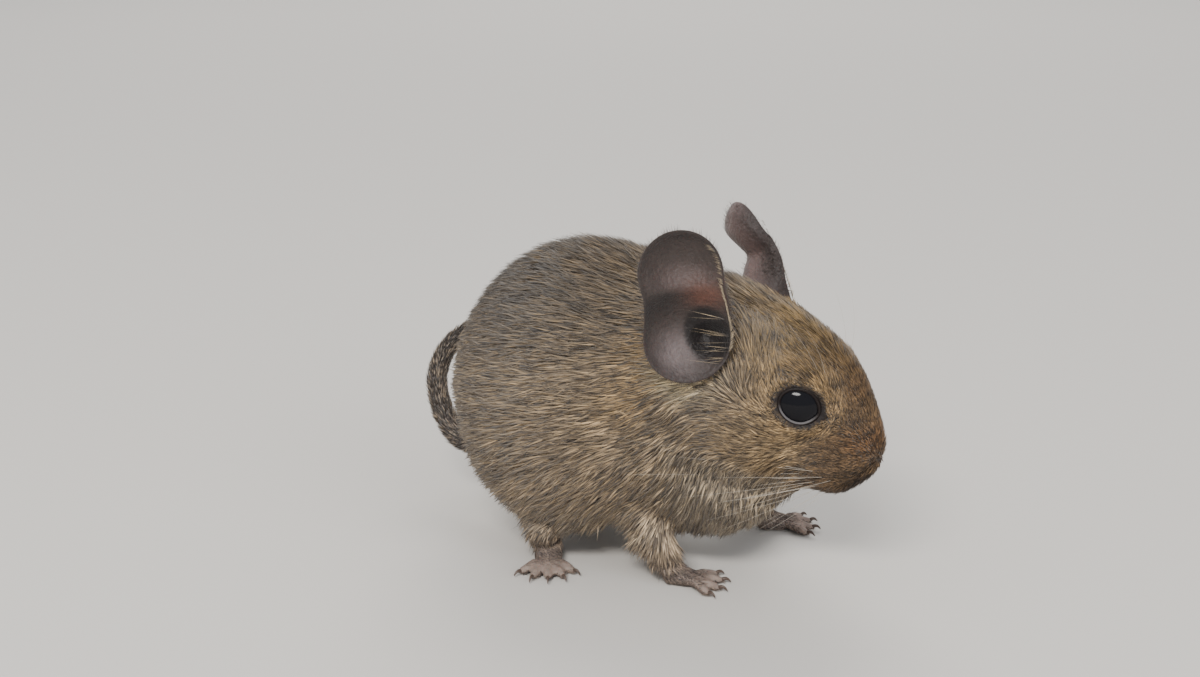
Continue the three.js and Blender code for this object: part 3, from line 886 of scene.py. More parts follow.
@dataclass
class Skin:
    """One closed skin over head, body, legs and feet, inside the coat's outer surface.

    Attributes:
        points: n by 3 places in the design frame.
        quads: m by 4 point numbers.
        normals: n by 3 outward directions.
    """

    points: np.ndarray
    quads: np.ndarray
    normals: np.ndarray = field(init=False)

    NODES = (
        "head", "neck", "torso", "foreleg_right", "foreleg_left", "hindleg_right", "hindleg_left",
    )
    VOXEL = 0.36
    ROUNDS = 90
    GROW = 0.2
    EYE_GROW = 0.45

    @staticmethod
    def node_surface(name: str, offset: np.ndarray, grow: float) -> tuple[np.ndarray, np.ndarray]:
        """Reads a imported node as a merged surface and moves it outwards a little.

        Args:
            name: the node's name.
            offset: where the design frame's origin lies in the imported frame.
            grow: how far it is moved, in millimetres.

        Returns:
            Points in the design frame and triangles.
        """
        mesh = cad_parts[name].data
        loose = np.empty(len(mesh.vertices) * 3)
        mesh.vertices.foreach_get("co", loose)
        mesh.calc_loop_triangles()
        corners = np.empty(len(mesh.loop_triangles) * 3, np.int32)
        mesh.loop_triangles.foreach_get("vertices", corners)
        places = np.round(loose.reshape(-1, 3) / MM, 3)
        points, merged = np.unique(places, axis=0, return_inverse=True)
        faces = merged.reshape(-1)[corners].reshape(-1, 3)
        faces = faces[(faces != np.roll(faces, 1, axis=1)).all(1)]
        return points + grow * point_normals(points, faces) - offset, faces

    @classmethod
    def build(cls, offset: np.ndarray) -> "Skin":
        """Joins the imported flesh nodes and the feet, smooths them and draws them in by the coat's depth.

        Args:
            offset: where the design frame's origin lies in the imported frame.

        Returns:
            The finished skin.
        """
        sources = [cls.node_surface(name, offset, cls.GROW) for name in cls.NODES]
        for foot in FEET:
            sources += foot.solids()
        sources += [Eye(side).ball(cls.EYE_GROW) for side in Side]
        skin = cls(*remeshed(*gathered(sources), cls.VOXEL))
        skin.smooth()
        skin.normals = point_normals(skin.points, skin.quads)
        skin.points -= skin.normals * Pelt.depth(skin.points)[:, None]
        skin.points[:, 2] = np.maximum(skin.points[:, 2], 0.0)
        for side in Side:
            skin.points = Eye(side).hollowed(skin.points)
        skin.normals = point_normals(skin.points, skin.quads)
        return skin

    def smooth(self) -> None:
        """Moves each point towards the middle of its neighbours, most on the body and least on the face.

        Round n moves a point by half of the mean of its neighbours less the point, times its share. A
        share of 1 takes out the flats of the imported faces, and a small one keeps lids, lips and toes.
        """
        edges = np.concatenate([self.quads[:, [i, (i + 1) % 4]] for i in range(4)])
        count = np.bincount(edges[:, 0], minlength=len(self.points))
        zone = Pelt.zones(self.points)
        h = to_head(self.points)
        face = step(h[:, 0], 13.5, 16.5) * step(h[:, 2], -13, -10)
        mouth = step(h[:, 0], 8, 11) * step(np.abs(h[:, 2] + 8.4), 2.0, 1.0)
        near_eye = step(zone["eye_gap"], 7.5, 5.5)
        kept = [0.93 * face, 0.9 * mouth, 0.93 * near_eye, 0.93 * zone["foot"], 0.6 * zone["leg"]]
        fine = np.maximum.reduce(kept)
        share = (0.5 * (1 - fine))[:, None]
        for _ in range(self.ROUNDS):
            mean = np.stack(
                [np.bincount(edges[:, 0], self.points[edges[:, 1], k], len(self.points)) for k in range(3)], 1
            ) / count[:, None]
            self.points += share * (mean - self.points)

    def nearest(self, places: np.ndarray) -> np.ndarray:
        """Returns the number of the skin point nearest to each place."""
        return np.array([np.argmin(((self.points - p) ** 2).sum(1)) for p in places])

    def roots(self, density: np.ndarray, rng: np.random.Generator) -> tuple[np.ndarray, np.ndarray]:
        """Scatters roots over the skin, evenly for a given density.

        Each quad takes its area times the density, rounded up or down at random. A root lies at
        random shares s and t between the quad's four corners.

        Args:
            density: m numbers of roots for each square millimetre, one for each quad.
            rng: the random source.

        Returns:
            Places and outward directions.
        """
        corner = self.points[self.quads]
        across = np.cross(corner[:, 2] - corner[:, 0], corner[:, 3] - corner[:, 1])
        area = np.linalg.norm(across, axis=1) / 2
        number = np.floor(area * density + rng.random(len(area))).astype(int)
        quad = np.repeat(np.arange(len(area)), number)
        s, t = rng.random((2, len(quad), 1))
        return between(corner[quad], s, t), unit(between(self.normals[self.quads[quad]], s, t))


def between(corners: np.ndarray, s: np.ndarray, t: np.ndarray) -> np.ndarray:
    """Returns the values at shares s and t between the four corners of each quad."""
    return blend(blend(corners[:, 0], corners[:, 1], s), blend(corners[:, 3], corners[:, 2], s), t)


def point_normals(points: np.ndarray, faces: np.ndarray) -> np.ndarray:
    """Works out outward directions of length one, each the sum of the faces round a point.

    Args:
        points: n by 3 places.
        faces: m by 3 or m by 4 point numbers.

    Returns:
        n by 3 directions.
    """
    c = points[faces]
    first, second = ((0, 2), (1, 3)) if faces.shape[1] == 4 else ((0, 1), (0, 2))
    across = np.cross(c[:, first[1]] - c[:, first[0]], c[:, second[1]] - c[:, second[0]])
    spread = np.repeat(across, faces.shape[1], axis=0)
    total = [np.bincount(faces.ravel(), spread[:, k], len(points)) for k in range(3)]
    return unit(np.stack(total, 1))


def remeshed(points: np.ndarray, faces: np.ndarray, voxel: float) -> tuple[np.ndarray, np.ndarray]:
    """Joins overlapping closed surfaces into one surface of even four-sided faces.

    Args:
        points: n by 3 places in millimetres.
        faces: m by 3 point numbers.
        voxel: the new faces' size in millimetres.

    Returns:
        New points and quads.
    """
    mesh = bpy.data.meshes.new("source")
    mesh.from_pydata((points * MM).tolist(), [], faces.tolist())
    source = bpy.data.objects.new("source", mesh)
    bpy.context.scene.collection.objects.link(source)
    remesh = source.modifiers.new("remesh", "REMESH")
    remesh.mode = "VOXEL"
    remesh.voxel_size = voxel * MM
    result = source.evaluated_get(bpy.context.evaluated_depsgraph_get()).to_mesh()
    places = np.empty(len(result.vertices) * 3)
    result.vertices.foreach_get("co", places)
    corners = np.empty(len(result.loops), np.int32)
    result.loops.foreach_get("vertex_index", corners)
    bpy.data.objects.remove(source)
    bpy.data.meshes.remove(mesh)
    return places.reshape(-1, 3) / MM, corners.reshape(-1, 4)


@dataclass(frozen=True)
class Eye:
    """An eyeball with its lids: a band of skin that lies on the ball round an almond-shaped opening.

    Attributes:
        side: the side of the head.
    """

    side: Side

    WIDE = 3.0
    TALL = 2.35
    BAND = 0.8
    FAR = 9.0
    BEHIND = 0.7
    RINGS = 32
    AROUND = 64
    # Painted reflection: the pale line of light on the wet rim of the lower lid.
    WET = rgb(140, 137, 138)

    def axes(self) -> tuple[np.ndarray, np.ndarray, np.ndarray, np.ndarray]:
        """Works out how the eye stands in the head's frame.

        Returns:
            Its centre and its forward, upward and outward directions.
        """
        mirror = np.array([1, self.side.value, 1])
        out = EYE_AXIS * mirror
        along = unit(np.array([1.0, 0, 0]) - out[0] * out)
        above = np.cross(out, along) * -self.side.value
        return EYE_PLACE * mirror, along, above, out

    def share(self, p: np.ndarray) -> np.ndarray:
        """Works out how far places lie from the middle of the opening, seen along the ball.

        Args:
            p: n by 3 places in the design frame.

        Returns:
            n numbers: 1 on the opening's edge, more outside it, and the most away from the eye.
        """
        centre, forward, upward, out = self.axes()
        away = to_head(p) - centre
        toward = unit(away)
        polar = np.arccos(np.clip(toward @ out, -1, 1)) * EYE_RADIUS
        angle = np.arctan2(toward @ upward, toward @ forward)
        made = np.hypot(polar * np.cos(angle) / self.WIDE, polar * np.sin(angle) / self.TALL)
        return np.where(np.linalg.norm(away, axis=1) < EYE_REACH, made, self.FAR)

    @classmethod
    def nearest_share(cls, p: np.ndarray) -> np.ndarray:
        """Returns the smaller of both eyes' shares for each place."""
        return np.minimum(cls(Side.RIGHT).share(p), cls(Side.LEFT).share(p))

    @classmethod
    def corner(cls, p: np.ndarray) -> np.ndarray:
        """Works out how far places belong to the dark skin at an eye's front corner.

        Args:
            p: n by 3 places in the design frame.

        Returns:
            n weights, 0 to 1.
        """
        made = np.zeros(len(p))
        for side in Side:
            centre, forward, upward, _ = cls(side).axes()
            away = to_head(p) - centre
            x, y = away @ forward, away @ upward
            tip = step(np.abs(y + 0.15) / np.maximum(0.05, 0.8 * (4.8 - x)), 1.1, 0.8) * step(x, 2.2, 2.6)
            made = np.maximum(made, tip * (np.linalg.norm(away, axis=1) < EYE_REACH))
        return made

    def hollowed(self, p: np.ndarray) -> np.ndarray:
        """Draws skin places in behind the ball's surface where they lie under the opening.

        Args:
            p: n by 3 places in the design frame.

        Returns:
            The moved places.
        """
        centre = self.axes()[0]
        away = to_head(p) - centre
        under = step(self.share(p), 1.16, 1.04)[:, None]
        behind = from_head(centre + unit(away) * (EYE_RADIUS - self.BEHIND))
        return blend(p, behind, under)

    def ball(self, grow: float = 0.0) -> tuple[np.ndarray, np.ndarray]:
        """Makes the eyeball: a sphere in rings of latitude, closed at its poles.

        Args:
            grow: how far its surface is moved outwards, in millimetres.

        Returns:
            Points and triangles.
        """
        t = np.linspace(0, math.pi, self.RINGS + 2)[1:-1]
        a = np.linspace(0, 2 * math.pi, self.AROUND, endpoint=False)
        t, a = np.meshgrid(t, a, indexing="ij")
        ball = np.stack([np.sin(t) * np.cos(a), np.sin(t) * np.sin(a), -np.cos(t)], -1).reshape(-1, 3)
        points = (EYE_RADIUS + grow) * np.vstack([ball, [0, 0, -1], [0, 0, 1]])
        return from_head(self.axes()[0] + points), capped(self.RINGS, self.AROUND)

    def lids(self) -> tuple[np.ndarray, np.ndarray, np.ndarray]:
        """Makes the lids as a closed band round the opening.

        Row i of the band lies a share s further out from the opening's edge: forward = (W + s B) cos a
        and upward = (T + s B) sin a, drawn to a point at the front corner. It rests on the ball, swells
        to a rounded margin at the edge and sinks into the skin further out.

        Returns:
            Points, quads, and for each point its share across the band, 0 at the margin, and how far it
            belongs to the lower lid.
        """
        centre, forward, upward, out = self.axes()
        s = np.array([0.0, 0.0, 0.02, 0.07, 0.14, 0.24, 0.38, 0.55, 0.75, 1.0, 1.0])
        lift = np.array([-0.3, 0.06, 0.18, 0.26, 0.3, 0.32, 0.32, 0.28, 0.16, -0.05, -0.7])
        a = np.linspace(0, 2 * math.pi, 96, endpoint=False)
        share, angle = np.meshgrid(s, a, indexing="ij")
        power = 1 + 0.5 * step(np.cos(angle), -0.2, 0.9) * (1 - share)
        sharp = np.abs(np.sin(angle)) ** power * np.sign(np.sin(angle))
        x = (self.WIDE + share * self.BAND) * np.cos(angle)
        y = (self.TALL + share * self.BAND) * sharp
        reach = np.hypot(x, y)
        polar = reach / EYE_RADIUS
        flat = np.minimum(polar, 1.45)
        radius = EYE_RADIUS + lift[:, None]
        direction = (
            (np.sin(flat) * x / reach)[..., None] * forward
            + (np.sin(flat) * y / reach)[..., None] * upward
            + np.cos(flat)[..., None] * out
        )
        points = centre + radius[..., None] * direction
        faces = grid_faces(len(s) + 1, len(a), True) % (len(s) * len(a))
        points = from_head(points.reshape(-1, 3))
        lower = step(-np.sin(angle), 0.25, 0.8).reshape(-1)
        return points, faces, np.stack([share.reshape(-1), lower], 1)

    def build(self, shop: Shop) -> None:
        """Puts the ball and the lids into the scene.

        Args:
            shop: puts arrays into the scene.
        """
        name = self.side.label
        piece = shop.mesh("eyeball_" + name, *closed(*self.ball()), "eye", "eye")
        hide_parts("eye_" + name)
        points, faces, where = self.lids()
        lids = shop.mesh("eyelids_" + name, *closed(points, faces), "lid", "coat")
        # Painted reflection: a pale line along the wet rim of the lower lid.
        tear_reflection = 0.42 * where[:, 1:] * step(where[:, :1], 0.16, 0.1)
        shop.attribute(lids, "pelt", blend(Pelt.LID, self.WET, tear_reflection))


def closed(points: np.ndarray, faces: np.ndarray) -> tuple[np.ndarray, np.ndarray]:
    """Turns a closed surface's faces outwards.

    Args:
        points: n by 3 places.
        faces: m by 3 or m by 4 point numbers, all turned alike.

    Returns:
        The same points, and the faces.
    """
    c = points[faces[:, :3]]
    volume = (c[:, 0] * np.cross(c[:, 1], c[:, 2])).sum()
    if faces.shape[1] == 4:
        d = points[faces[:, [0, 2, 3]]]
        volume += (d[:, 0] * np.cross(d[:, 1], d[:, 2])).sum()
    return points, faces if volume > 0 else faces[:, ::-1].copy()


@dataclass(frozen=True)
class Ear:
    """An ear: a thin sheet with two shallow bowls, one above the other, and the canal low in front.

    Attributes:
        side: the side of the head.
        place: the canal, in the head's frame.
        facing: where the sheet faces, in the head's frame.
        up: the way the ear stands, in the head's frame.
        top: the outline's upper round, its middle and its radius in the ear's plane.
        cup: the bend of the rear edge, rolled forward below the top.
    """

    side: Side
    place: tuple[float, float, float]
    facing: tuple[float, float, float]
    up: tuple[float, float, float]
    top: tuple[float, float, float]
    cup: float

    MIDDLE = np.array([-2.2, 5.2])
    BOTTOM = (-3.3, 1.7, 6.1)
    EDGES = ((-1.0, 5.6, 3.9, 7.4), (-5.0, 6.8, 4.0, 5.6))
    BOWLS = ((-3.6, 13.6, 5.4, 2.4), (-3.6, 3.2, 7.0, 3.8), (-0.5, 1.2, 3.3, 4.4))
    CUP_FROM = -1.5
    CUP_RANGE = (9.0, 14.0)
    THICKNESS = 0.6
    ROWS = 84
    COLUMNS = 168
    PALE_HAIR = rgb(160, 145, 122)
    DARK_HAIR = rgb(92, 80, 73)
    HAIRS = {"edge": 280, "canal": 18, "face": 1500, "back": 2200}

    def axes(self) -> tuple[np.ndarray, np.ndarray, np.ndarray]:
        """Works out how the ear stands in the head's frame.

        Returns:
            Its front, up and facing directions.
        """
        up = unit(np.array(self.up))
        facing = np.array(self.facing)
        facing = unit(facing - up * (facing @ up))
        return np.cross(up, facing) * -self.side.value, up, facing

    def outline(self, p: np.ndarray) -> np.ndarray:
        """Works out how far places lie outside the outline: four rounds run together.

        Args:
            p: places in the ear's plane, with the last axis of two.

        Returns:
            Their gaps, less than 0 inside.
        """
        made = [np.hypot(p[..., 0] - x, p[..., 1] - y) - radius for x, y, radius in (self.top, self.BOTTOM)]
        for x, y, wide, tall in self.EDGES:
            made.append((np.hypot((p[..., 0] - x) / wide, (p[..., 1] - y) / tall) - 1) * wide)
        return run_together(made, 1.6, 0.4)

    def reach(self, angle: np.ndarray) -> np.ndarray:
        """Finds the outline's distance from the ear's middle by halving.

        Args:
            angle: the angles to look along.

        Returns:
            A distance for each.
        """
        direction = circle(angle)
        low, high = np.full(angle.shape, 2.0), np.full(angle.shape, 16.0)
        for _ in range(30):
            middle = (low + high) / 2
            inside = self.outline(self.MIDDLE + middle[..., None] * direction) < 0
            low, high = np.where(inside, middle, low), np.where(inside, high, middle)
        return low

    def depth(self, place: np.ndarray) -> np.ndarray:
        """Works out the sheet's depth: a bowl sinks by D (1 - r^2 / R^2), and the bowls run together.

        Args:
            place: places in the ear's plane, with the last axis of two.

        Returns:
            How far each is raised, less than 0 where the sheet is sunk.
        """
        sunk = [
            -deep * (1 - (np.hypot(place[..., 0] - x, place[..., 1] - y) / radius) ** 2)
            for x, y, radius, deep in self.BOWLS
        ]
        return run_together([np.minimum(0.0, sunk[0]), *sunk[1:]], 1.2, 0.3)

    def placed(self, place: np.ndarray, height: np.ndarray) -> np.ndarray:
        """Places points of the ear's plane on the head, with the rear edge rolled forward.

        A point past the cup's start by d, on a bend b, moves to sin(b d) / b from the start and rises by
        (1 - cos(b d)) / b. The bend fades out towards the top.

        Args:
            place: places in the ear's plane, with the last axis of two.
            height: how far each is raised.

        Returns:
            Places in the design frame.
        """
        front, up, facing = self.axes()
        low, high = self.CUP_RANGE
        bend = self.cup * (1 - step(place[..., 1], low, high)) + 1e-6
        past = np.maximum(0.0, self.CUP_FROM - place[..., 0])
        x = np.where(past > 0, self.CUP_FROM - np.sin(bend * past) / bend, place[..., 0])
        rise = np.asarray(height) + (1 - np.cos(bend * past)) / bend
        made = np.array(self.place) + x[..., None] * front + place[..., 1:2] * up
        return from_head(made + rise[..., None] * facing)

    def sheet(self) -> tuple[np.ndarray, np.ndarray, np.ndarray]:
        """Makes the sheet: a ball pressed flat, whose half-shares follow the outline.

        A row at polar angle b and column at angle a lies at the share sin b of the way from the middle
        to the outline. The front face follows the depth, and the back face lies a thickness behind and
        swells round the canal into the root.

        Returns:
            Points, triangles and a colour for each point.
        """
        polar = np.linspace(0.02, math.pi - 0.02, self.ROWS)
        angle = np.linspace(0, 2 * math.pi, self.COLUMNS, endpoint=False)
        b, a = np.meshgrid(polar, angle, indexing="ij")
        share = np.sin(b)
        place = self.MIDDLE + (share * self.reach(a))[..., None] * circle(a)
        edge = np.minimum(1.0, np.sqrt(np.maximum(0, 1 - share**2)) * 3.4)
        canal = np.hypot(place[..., 0], place[..., 1])
        root = step(canal, 6.5, 1.5) * 5.2
        front = np.cos(b) > 0
        roll = 0.5 * step(share, 0.86, 1.0)
        height = self.depth(place) + roll
        offset = np.where(front, edge * self.THICKNESS / 2, -edge * (self.THICKNESS / 2 + root))
        rings = self.placed(place, height + offset)
        points = np.vstack([rings.reshape(-1, 3), rings[0].mean(0), rings[-1].mean(0)])
        colour = self.colour(place, share, front).reshape(-1, 3)
        return points, capped(self.ROWS, self.COLUMNS), np.vstack([colour, colour[0], colour[-1]])

    @staticmethod
    def colour(place: np.ndarray, share: np.ndarray, front: np.ndarray) -> np.ndarray:
        """Works out the bare skin's colour: dark, redder over the canal, with painted light on the lower part
        of the upper bowl, painted shade under the ridge between the bowls, a painted sheen low in the bowl,
        the canal's opening painted near black as shade, and painted shade on the back face towards the front
        edge.

        Args:
            place: places in the ear's plane, with the last axis of two.
            share: their share of the way to the outline.
            front: whether they lie on the front face.

        Returns:
            Colours in linear light.
        """
        x, y = place[..., 0], place[..., 1]
        made = np.broadcast_to(rgb(54, 45, 42), (*place.shape[:-1], 3))
        layers = (
            # Painted light: the lower part of the upper bowl is lighter where it faces the light.
            (0.7 * spot(x, y, (-3.2, 10.8), (4.2, 1.8)), rgb(86, 71, 68)),
            (spot(x, y, (-0.4, 8.0), (2.8, 2.0)), rgb(100, 64, 52)),
            # Painted shade: a dark patch under the ridge between the bowls.
            (0.85 * spot(x, y, (-7.0, 7.4), (3.8, 2.4)), rgb(38, 32, 30)),
            # Painted sheen: a pale patch low in the lower bowl.
            (spot(x, y, (-4.6, -0.4), (3.0, 2.8)), rgb(100, 89, 88)),
            (0.6 * step(share, 0.88, 1.0), rgb(44, 36, 34)),
            # Painted shade: the canal's opening, painted near black on the closed sheet.
            (step(np.hypot((x + 0.2) / 3.5, (y - 2.0) / 4.4), 1.05, 0.75), rgb(20, 14, 14)),
        )
        for weight, layer in layers:
            made = blend(made, layer, weight[..., None])
        # Painted shade on the back face: it darkens towards the front edge.
        edge = step(x + 0.25 * y, -0.5, 4.2)[..., None]
        back = blend(rgb(106, 88, 84), rgb(54, 45, 43), edge)
        return np.where(front[..., None], made, back)

    def hairs(self, rng: np.random.Generator) -> "TuftBatch":
        """Makes fine hairs: pale along the front edge and over the canal, short on both faces.

        Args:
            rng: the random source.

        Returns:
            The hairs.
        """
        front, up, facing = (axis @ HEAD_AXES.T for axis in self.axes())
        parts = []
        a = rng.uniform(-0.9, 1.3, self.HAIRS["edge"])
        ring = self.MIDDLE + (self.reach(a) - 0.35)[:, None] * circle(a)
        along = np.cos(a)[:, None] * up - np.sin(a)[:, None] * front
        way = unit(along + facing * 0.12 + rng.normal(0, 0.1, (len(a), 3)))
        length = rng.uniform(0.6, 1.3, len(a))
        parts.append((self.placed(ring, np.full(len(a), 0.62)), way, length, 0.05, 0.7))
        a = np.round(rng.uniform(-0.9, 1.1, self.HAIRS["canal"]) * 4) / 4
        a = a + rng.normal(0, 0.05, len(a))
        place = np.stack([2.7 - 0.6 * a**2, a * 3.4 + 1.2], -1)
        way = -front + up * (0.22 + 0.12 * a[:, None]) + facing * 0.12
        way = unit(way + rng.normal(0, 0.07, (len(a), 3)))
        length = rng.uniform(3.0, 6.8, len(a))
        parts.append((self.placed(place, np.full(len(a), 0.1)), way, length, 0.06, 0.85))
        for kind, sign, longest in (("face", 1, 0.9), ("back", -1, 1.2)):
            a = rng.uniform(0, 2 * math.pi, self.HAIRS[kind])
            share = np.sqrt(rng.uniform(0.25, 0.99, len(a)))
            place = self.MIDDLE + (share * self.reach(a))[:, None] * circle(a)
            outward = unit((place - self.MIDDLE)[:, :1] * front + (place - self.MIDDLE)[:, 1:] * up)
            way = unit(outward + facing * 0.3 * sign + up * 0.4 + rng.normal(0, 0.15, (len(a), 3)))
            height = self.depth(place) + sign * 0.2 + 0.5 * step(share, 0.86, 1.0)
            length = rng.uniform(0.6, 1.2, len(a)) * longest
            parts.append((self.placed(place, height), way, length, 0.06, 0.35))
        roots, ways, length = (np.concatenate([part[k] for part in parts]) for k in range(3))
        width, tint = (np.concatenate([np.full(len(part[0]), part[k]) for part in parts]) for k in (3, 4))
        tint = tint + rng.uniform(-0.1, 0.1, len(length))
        normals = np.tile(facing, (len(roots), 1))
        pelt = np.where(tint[:, None] > 0.6, self.PALE_HAIR, self.DARK_HAIR)
        return TuftBatch(roots, normals, ways, length, width, pelt, np.clip(tint, 0, 1))

    def build(self, shop: Shop) -> None:
        """Puts the ear and its hairs into the scene.

        Args:
            shop: puts arrays into the scene.
        """
        name = self.side.label
        points, faces, colour = self.sheet()
        piece = shop.mesh("ear_sheet_" + name, *closed(points, faces), "ear", "ear_skin")
        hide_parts("ear_" + name)
        shop.attribute(piece, "pelt", colour)
        self.hairs(shop.rng).build(shop, "ear_hair_" + name, bent=False, slot="ear_skin")


EARS = (
    Ear(
        Side.RIGHT, place=(-6.7, -12.5, 6.2), facing=(0.42, -0.84, 0.3), up=(-0.34, -0.1, 0.93),
        top=(-3.7, 12.3, 5.9), cup=0.0,
    ),
    Ear(
        Side.LEFT, place=(-5.6, 12.5, 5.9), facing=(0.4, 0.84, 0.3), up=(-0.6, 0.06, 0.8),
        top=(-4.4, 13.0, 5.0), cup=0.16,
    ),
)


@dataclass
class TuftBatch:
    """Tufts of hair of one build.

    Attributes:
        roots: n by 3 places on the skin.
        normals: n by 3 outward directions.
        lies: n by 3 directions that the tufts lie along.
        length: n lengths in millimetres.
        width: n widths in millimetres.
        pelt: n by 3 colours.
        tint: n numbers, 0 for the darkest tufts and 1 for the palest.
    """

    roots: np.ndarray
    normals: np.ndarray
    lies: np.ndarray
    length: np.ndarray
    width: np.ndarray
    pelt: np.ndarray
    tint: np.ndarray

    SPIKE = np.array([[0, 2, 1], [0, 1, 3], [1, 2, 3], [2, 0, 3]])
    LOCK = np.array([
        [0, 2, 1], [0, 1, 4], [0, 4, 3], [1, 2, 5], [1, 5, 4], [2, 0, 3], [2, 3, 5],
        [3, 4, 6], [4, 5, 6], [5, 3, 6],
    ])
    PATCH = 0.003
    FLOOR_GAP = 0.02

    def chosen(self, which: np.ndarray) -> "TuftBatch":
        """Returns the tufts that a mask picks."""
        return TuftBatch(*(getattr(self, name)[which] for name in self.__dataclass_fields__))

    def build(self, shop: Shop, name: str, bent: bool, slot: str = "coat") -> None:
        """Puts the tufts into the scene as closed, tapered solids on a three-sided section.

        A station at share s of the length lies at root + lie L s + normal L c s (1 - s / 2), so a bent
        lock rises at its root and lies down to its tip. The section is as wide as the tuft across the
        lie, and less thick. A spike has one station and its tip, a lock has two and its tip.

        Args:
            shop: puts arrays into the scene.
            name: the piece's name.
            bent: whether the tufts are bent locks or straight spikes.
            slot: the record's material slot.
        """
        across = unit(np.cross(self.lies, self.normals))
        upward = np.cross(across, self.lies)
        stations = ((0.0, 0.75), (0.5, 1.0)) if bent else ((0.0, 1.0),)
        lift = 0.16 if bent else 0.0
        points, local, along = [], [], []
        for s, wide in stations:
            centre = self.roots + (self.length * s)[:, None] * self.lies
            centre = centre + (self.length * lift * s * (1 - s / 2))[:, None] * self.normals
            half = (self.width * wide / 2)[:, None]
            points += [centre + 0.7 * half * upward, centre + half * across, centre - half * across]
            local += [(0.0, s), (0.5, s), (-0.5, s)]
            along += [s] * 3
        tip = self.roots + self.length[:, None] * self.lies + (self.length * lift / 2)[:, None] * self.normals
        points.append(tip)
        local.append((0.0, 1.0))
        along.append(1.0)
        each = len(points)
        faces = self.LOCK if bent else self.SPIKE
        where = (np.arange(len(self.roots)) * each)[:, None, None] + faces
        places = np.stack(points, 1).reshape(-1, 3)
        places[:, 2] = np.maximum(places[:, 2], self.FLOOR_GAP)
        piece = shop.mesh(name, places, where.reshape(-1, 3), "coat", slot)
        shop.attribute(piece, "pelt", np.repeat(self.pelt, each, axis=0))
        shop.attribute(piece, "tint", np.repeat(self.tint, each))
        shop.attribute(piece, "along", np.tile(along, len(self.roots)))
        flat = unwrapped(self.roots)[:, None] + self.PATCH * (np.array(local) - [0, 0.5])
        layer = piece.data.uv_layers.new(name="OFBake")
        layer.data.foreach_set("uv", flat.reshape(-1, 2)[where.ravel()].astype(np.float32).ravel())


def unwrapped(p: np.ndarray) -> np.ndarray:
    """Returns places on the unwrapped skin, 0 to 1 each way.

    Body and head share one chart: the angle round the long axis across, and the angle from nose to rump
    up. Each leg has a chart of its own above: the angle round the leg across, and its height up.

    Args:
        p: n by 3 places in the design frame.

    Returns:
        n by 2 chart places.
    """
    ball = unit((p - BODY_CENTRE) / BODY_SIZE)
    around = np.arctan2(ball[:, 1], ball[:, 2]) / (2 * math.pi) + 0.5
    chart = np.stack([0.01 + 0.98 * around, 0.01 + 0.76 * np.arccos(np.clip(ball[:, 0], -1, 1)) / math.pi], 1)
    middles = np.array([np.mean(foot.path, axis=0)[:2] for foot in FEET])
    gap = p[:, None, :2] - middles
    which = np.argmin((gap**2).sum(2), axis=1)
    near = gap[np.arange(len(p)), which]
    turn = np.arctan2(near[:, 1], near[:, 0]) / (2 * math.pi) + 0.5
    leg = np.stack([0.25 * which + 0.01 + 0.23 * turn, 0.8 + 0.19 * np.clip(p[:, 2] / LEG_TOP, 0, 1)], 1)
    return np.where((p[:, 2] < LEG_TOP)[:, None], leg, chart)


@dataclass(frozen=True)
class TuftKind:
    """One kind of tuft.

    Attributes:
        label: how the names of its pieces start.
        length: a tuft's length on the body, in millimetres.
        width: its width.
        scatter: how far the directions wander.
        paler: how far the tint is moved towards the palest.
        bent: whether the tufts are bent locks or straight spikes.
    """

    label: str
    length: float
    width: float
    scatter: float
    paler: float
    bent: bool


